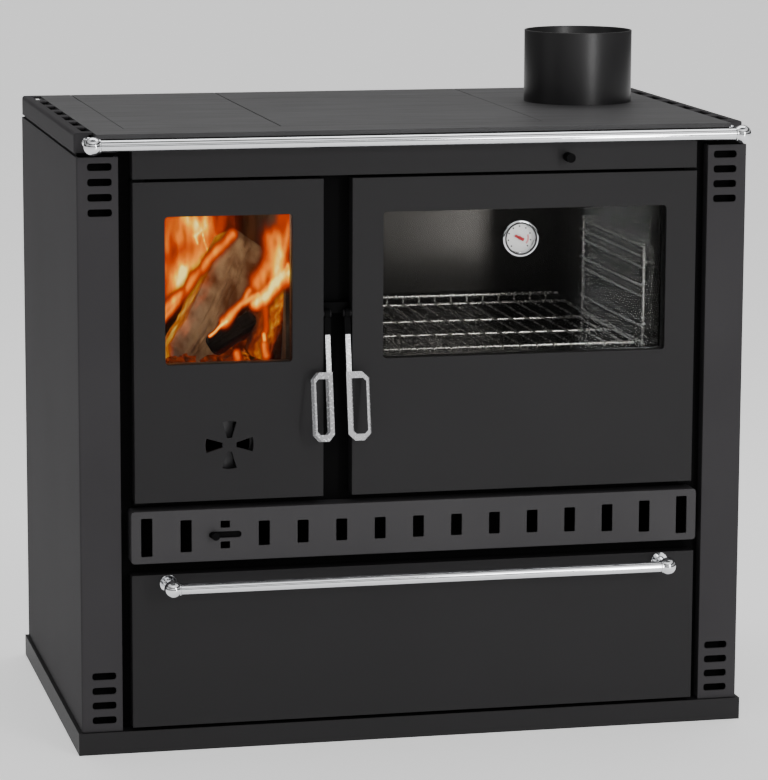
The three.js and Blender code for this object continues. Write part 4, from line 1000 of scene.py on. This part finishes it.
# %% Places in the fire
low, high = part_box("fire_door_inner_frame")
WINDOW_LEFT, WINDOW_RIGHT = -0.348, -0.178
WINDOW_TOP, WINDOW_FOOT = 0.736, 0.540
window_y = low.y
SLANT_RIGHT, SLANT_DOWN = 0.228, 0.147  # metres for each metre of depth


def seen(across, down, depth):
    """A point behind the window: shares of its width and height, and a depth in metres."""
    x = WINDOW_LEFT + across * (WINDOW_RIGHT - WINDOW_LEFT) + SLANT_RIGHT * depth
    z = WINDOW_TOP - down * (WINDOW_TOP - WINDOW_FOOT) - SLANT_DOWN * depth
    return Vector((x, window_y + depth, z))


def heated(mesh, heats):
    """Stores the heat of each point on the mesh."""
    layer = mesh.attributes.new(HEAT_NAME, "FLOAT", "POINT")
    layer.data.foreach_set("value", heats)


def clamp(value):
    return max(0.0, min(1.0, value))


print("window corners:", [round(v, 3) for v in seen(0, 0, 0)], [round(v, 3) for v in seen(1, 1, 0)])

# %% [markdown]
# A split log has flat sides where the axe went through, and long ridges of grain. The mesh
# starts as rings along the log, flat sides cut into them, and noise roughens them. The heat
# grows towards the side that faces the flames.

# %% How to make a log
LOG_RINGS = 90
LOG_SIDES = 72


def split_reach(out, faces):
    """How far a log with these flat faces reaches in the direction out."""
    reach = 1.15
    for direction, distance in faces:
        facing = out.dot(direction)
        if facing > 0.05:
            reach = min(reach, distance / facing)
    return reach


def log_point(offset, along, out, t, flats):
    """The reach of one point of a log, as a share of its radius, and how its heat flares."""
    place = offset + out * 1.6 + along * t * 2.2
    fibre = noise.noise(offset + out * 5 + Vector((0, 0, t * 1.6))) * 0.07
    rough = noise.fractal(place * 2.4, 1.0, 2.0, 5) * 0.07
    chips = noise.fractal(place * 7, 1.0, 2.0, 3) * 0.03
    flare = noise.fractal(place * 4.5, 1.0, 2.0, 4) * 0.45
    return split_reach(out, flats) + fibre + rough + chips, flare


def make_log(name, start, end, radius, flats, hot_side, hottest, seed, material):
    along = (end - start).normalized()
    side = along.orthogonal().normalized()
    other = along.cross(side)
    ways = [Vector(way) for way, distance in flats]
    ways = [(way - along * along.dot(way)).normalized() for way in ways]
    flats = [(way, distance) for way, (_, distance) in zip(ways, flats)]
    hot = Vector(hot_side).normalized()
    points, heats = [], []
    offset = Vector((seed * 3.7, seed * 1.3, seed * 2.1))
    for ring in range(LOG_RINGS + 1):
        t = ring / LOG_RINGS
        taper = 1 - 0.3 * max(0, abs(2 * t - 1) - 0.9) / 0.1
        bow = side * noise.noise(Vector((t * 1.4, seed, 0))) * radius * 0.25
        for step in range(LOG_SIDES):
            out = around(side, other, step, LOG_SIDES)
            reach, flare = log_point(offset, along, out, t, flats)
            points.append(start + (end - start) * t + bow + out * (radius * taper * reach))
            heats.append(clamp(hottest * ((out.dot(hot) - 0.55) * 2.4 + flare)))
    faces = ring_faces(LOG_RINGS + 1, LOG_SIDES)
    for ring, inward in ((0, 0.1), (LOG_RINGS, -0.1)):
        points.append(start + (end - start) * (ring / LOG_RINGS) + along * inward * radius)
        heats.append(hottest * 0.3)
        rim = ring * LOG_SIDES
        for step in range(LOG_SIDES):
            faces.append((rim + step, rim + (step + 1) % LOG_SIDES, len(points) - 1))
    mesh = mesh_from(name, points, faces)
    heated(mesh, heats)
    turn_outwards(mesh)
    sharpen(new_piece(name, mesh, material, STOVE), 50)


print("points on each log:", (LOG_RINGS + 1) * LOG_SIDES + 2)

# %% [markdown]
# Four logs burn. A large split one leans to the right with its hot edge up, one lies behind
# it, a short charred one lies in front, and a glowing one leans at the right. Each log has two
# ends, a radius, its flat sides, the side that is hot, how hot it is, and a seed for its noise.

# %% Logs
# each flat side: the way it looks, and how far it lies from the middle, as a share of the radius
SPLIT = [((0.25, -1, 0.25), 0.50), ((-0.8, -0.1, 0.45), 0.92)]
SPLIT += [((0.9, -0.1, -0.5), 0.90), ((0, 1, 0.3), 0.8)]
ROUGH = [((0.1, -1, 0.6), 0.7), ((0.2, -0.7, -0.8), 0.75)]
ROUGH += [((0, 0.6, 0.8), 0.8), ((0, 1, -0.5), 0.8)]
# the two ends as seen through the window, and the radius in millimetres
LOG_SIZES = {
    "large_log": ((0.08, 1.04, 0.115), (0.60, 0.16, 0.190), 37),
    "back_log": ((0.52, 0.80, 0.235), (0.84, 0.24, 0.280), 27),
    "charred_log": ((0.33, 0.92, 0.085), (0.71, 0.72, 0.070), 14),
    "red_log": ((0.76, 1.00, 0.070), (0.98, 0.50, 0.060), 24),
}
# the flat sides, the hot side, how hot it is, the seed and the finish
LOG_LOOKS = {
    "large_log": (SPLIT, (-0.8, 0.1, 0.5), 0.70, 1, ash_wood),
    "back_log": (SPLIT, (1, -0.2, 0.3), 0.55, 2, ash_wood),
    "charred_log": (ROUGH, (0, 0, -1), 0.25, 3, black_wood),
    "red_log": (ROUGH, (-0.3, -0.9, 0.4), 0.72, 4, coal),
}
for name, (start, end, radius) in LOG_SIZES.items():
    make_log(name, seen(*start), seen(*end), radius * MM, *LOG_LOOKS[name])
print("logs:", len(LOG_SIZES))

# %% [markdown]
# Under the logs lies a bed of embers, small broken lumps that glow in patches. Each lump is a
# roughened ball of its own, and all of them go into one mesh.

# %% Embers
EMBER_COUNT = 260
EMBER_SIZES = (6 * MM, 14 * MM)
EMBER_HEAP = 48 * MM
# the bed: its left and front edges, seen from the window's left edge, and its width and depth
BED_LEFT, BED_FRONT, BED_WIDTH, BED_DEPTH = 20 * MM, 60 * MM, 130 * MM, 220 * MM


def lump(centre, radius, seed, points, heats, faces, rings=7, sides=10):
    """Adds a roughened ball to the lists of points, heats and faces."""
    start = len(points)
    for ring in range(rings + 1):
        tilt = math.pi * ring / rings
        for step in range(sides):
            turn = 2 * math.pi * step / sides
            flat = math.sin(tilt)
            out = Vector((flat * math.cos(turn), flat * math.sin(turn), math.cos(tilt)))
            rough = noise.noise(out * 1.7 + Vector((seed, seed * 2, 0))) * 0.55
            points.append(centre + out * radius * (1 + rough))
            warmth = 0.42 + noise.noise(out * 2.4 + Vector((0, seed, seed))) * 0.9
            heats.append(clamp(warmth * (0.75 + 0.25 * math.sin(seed * 2.3))))
    for ring in range(rings):
        for step in range(sides):
            a, b = start + ring * sides + step, start + ring * sides + (step + 1) % sides
            faces.append((a, a + sides, b + sides, b))


def draw(index, part):
    """A number from 0 to 1 that looks random but is the same every time."""
    return (noise.cell(Vector((index * 7.3 + 0.5, part * 11.1 + 0.5, 0.5))) + 1) / 2


ember_points, ember_heats, ember_faces = [], [], []
grate_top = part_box("fire_grate")[1].z
for index in range(EMBER_COUNT):
    radius = EMBER_SIZES[0] + (EMBER_SIZES[1] - EMBER_SIZES[0]) * draw(index, 3)
    x = WINDOW_LEFT + BED_LEFT + BED_WIDTH * draw(index, 0)
    y = window_y + BED_FRONT + BED_DEPTH * draw(index, 1)
    z = grate_top + radius * 1.5 + EMBER_HEAP * draw(index, 2)
    lump(Vector((x, y, z)), radius, index * 1.7, ember_points, ember_heats, ember_faces)
ember_mesh = mesh_from("embers", ember_points, ember_faces)
heated(ember_mesh, ember_heats)
new_piece("embers", ember_mesh, coal, STOVE)
print("embers:", EMBER_COUNT)

# %% [markdown]
# A flame is a thin curved sheet. Strokes describe it: each one follows the middle of a tongue
# and has a width and a heat. Its path is given by shares of the window's width and height.

# %% Strokes of the flames
# each stroke: its path, its width and its heat
BACK_STROKES = [
    ([(-0.1, 0.1), (0.20, 0.0)], 0.24, 0.50),
    ([(0.0, 0.42), (0.22, 0.3)], 0.19, 0.66),
    ([(0.22, -0.05), (0.26, 0.28)], 0.09, 0.60),
    ([(0.05, 0.40), (0.07, 0.36)], 0.065, 0.98),
    ([(0.0, 0.46), (0.05, 0.40)], 0.06, 0.9),
    ([(0.09, -0.02), (0.17, 0.05)], 0.08, 0.80),
    ([(0.13, 0.10), (0.19, 0.06), (0.27, 0.26)], 0.012, 0.95),
    ([(0.13, 0.10), (0.15, 0.16)], 0.012, 0.85),
    ([(0.27, 0.26), (0.22, 0.31)], 0.012, 0.8),
    ([(0.32, 0.02), (0.36, 0.10)], 0.06, 0.45),
    ([(0.92, 0.0), (0.95, 0.15)], 0.13, 0.48),
    ([(0.88, 0.2), (0.88, 0.4)], 0.12, 0.6),
]
EDGE_STROKES = [
    ([(-0.05, 0.64), (0.12, 0.51), (0.30, 0.32), (0.52, 0.12)], 0.040, 0.60),
    ([(-0.05, 0.70), (0.10, 0.55)], 0.03, 0.55),
]
FRONT_STROKES = [
    ([(0.96, 0.02), (0.95, 0.2), (0.86, 0.38)], 0.075, 0.52),
    ([(0.88, 0.14), (0.90, 0.42)], 0.09, 0.62),
    ([(0.84, 0.36), (0.73, 0.46)], 0.07, 0.64),
    ([(1.0, 0.40), (0.86, 0.50), (0.72, 0.62)], 0.052, 0.95),
    ([(0.99, 0.36), (0.93, 0.43)], 0.025, 0.9),
    ([(0.74, 0.55), (0.58, 0.62), (0.45, 0.74)], 0.034, 0.70),
    ([(0.47, 0.73), (0.40, 0.78), (0.33, 0.84)], 0.011, 1.0),
    ([(0.60, 0.60), (0.66, 0.52)], 0.03, 0.62),
    ([(0.78, 0.66), (0.80, 0.80)], 0.03, 0.42),
    ([(0.79, 0.83), (0.80, 0.86)], 0.018, 0.85),
    ([(0.56, 0.96), (0.57, 0.99)], 0.03, 0.60),
    ([(0.80, 0.90), (0.81, 0.98)], 0.035, 0.62),
]
print("strokes:", len(BACK_STROKES + EDGE_STROKES + FRONT_STROKES))

# %% [markdown]
# The heat of a point is that of the strongest stroke nearby, and a little of the others. Noise
# moves the point before it is measured, which frays the tongues, and noise that is drawn out
# upwards makes them flicker. Faces without heat are left out.

# %% Flame sheets
SHEET_COLUMNS, SHEET_ROWS = 110, 130
SHEET_TOP, SHEET_HEIGHT = -0.15, 1.20  # as shares of the window's height
FLICKER = 0.38


def distance_to(point, path):
    """How far the point lies from a path of straight lines."""
    nearest = 10.0
    for a, b in zip(path, path[1:]):
        a, b = Vector(a), Vector(b)
        share = clamp((point - a).dot(b - a) / (b - a).length_squared)
        nearest = min(nearest, (a + (b - a) * share - point).length)
    return nearest


def heat_at(across, down, strokes, seed, fray):
    sideways = noise.noise(Vector((across * 7, down * 4, seed + 5)))
    upwards = noise.noise(Vector((across * 5, down * 5, seed + 9)))
    spot = Vector((across, down)) + Vector((sideways, upwards)) * fray
    flicker = noise.fractal(Vector((across * 14, down * 5, seed + 2)), 1.0, 2.0, 4)
    strongest = 0.0
    for path, width, warmth in strokes:
        far = distance_to(spot, path) / width
        near = warmth * math.exp(-(far**1.7) * 0.8)
        strongest = max(strongest, near) + 0.15 * min(strongest, near)
    return clamp(strongest * (1 + FLICKER * flicker))


def make_flames(name, strokes, depth, bulge, seed, fray, lean, margin):
    """A sheet at that depth, which lies deeper by lean at the left, and reaches past the window."""
    points, heats, faces = [], [], []
    for row in range(SHEET_ROWS + 1):
        for column in range(SHEET_COLUMNS + 1):
            across = -margin + (1 + 2 * margin) * column / SHEET_COLUMNS
            down = SHEET_TOP + SHEET_HEIGHT * row / SHEET_ROWS
            wave = noise.noise(Vector((across * 3, down * 2, seed)))
            points.append(seen(across, down, depth + bulge * wave + (1 - across) * lean))
            heats.append(heat_at(across, down, strokes, seed, fray))
    wide = SHEET_COLUMNS + 1
    for row in range(SHEET_ROWS):
        for column in range(SHEET_COLUMNS):
            a = row * wide + column
            corners = (a, a + 1, a + wide + 1, a + wide)
            if max(heats[corner] for corner in corners) > COLDEST:
                faces.append(corners)
    mesh = mesh_from(name, points, faces)
    heated(mesh, heats)
    work = bmesh.new()
    work.from_mesh(mesh)
    loose = [vert for vert in work.verts if not vert.link_faces]
    bmesh.ops.delete(work, geom=loose, context="VERTS")
    work.to_mesh(mesh)
    work.free()
    new_piece(name, mesh, flame, STOVE)


# each sheet: its strokes, depth, bulge, seed, fray, lean and margin
SHEETS = {
    "back_flames": (BACK_STROKES, 0.20, 0.02, 1.0, 0.05, 0.08, 0.14),
    "edge_flames": (EDGE_STROKES, 0.060, 0.004, 3.0, 0.012, 0.01, 0.08),
    "front_flames": (FRONT_STROKES, 0.018, 0.001, 6.0, 0.035, 0.045, 0.015),
}
for name, values in SHEETS.items():
    make_flames(name, *values)
print("flame sheets:", len(SHEETS))

# %% [markdown]
# The flames light the logs from the front and from above. A small warm lamp just behind the
# window adds the light that the thin sheets don't give.

# %% Fire light
FIRE_WATTS = 0.8
fire_data = bpy.data.lights.new("fire light", "POINT")
fire_data.energy = FIRE_WATTS
fire_data.color = (1.0, 0.72, 0.45)
fire_data.shadow_soft_size = 0.03
fire_lamp = bpy.data.objects.new("fire light", fire_data)
fire_lamp.location = seen(0.55, 0.10, 0.035)
bpy.context.collection.objects.link(fire_lamp)
print("fire light in watts:", FIRE_WATTS)
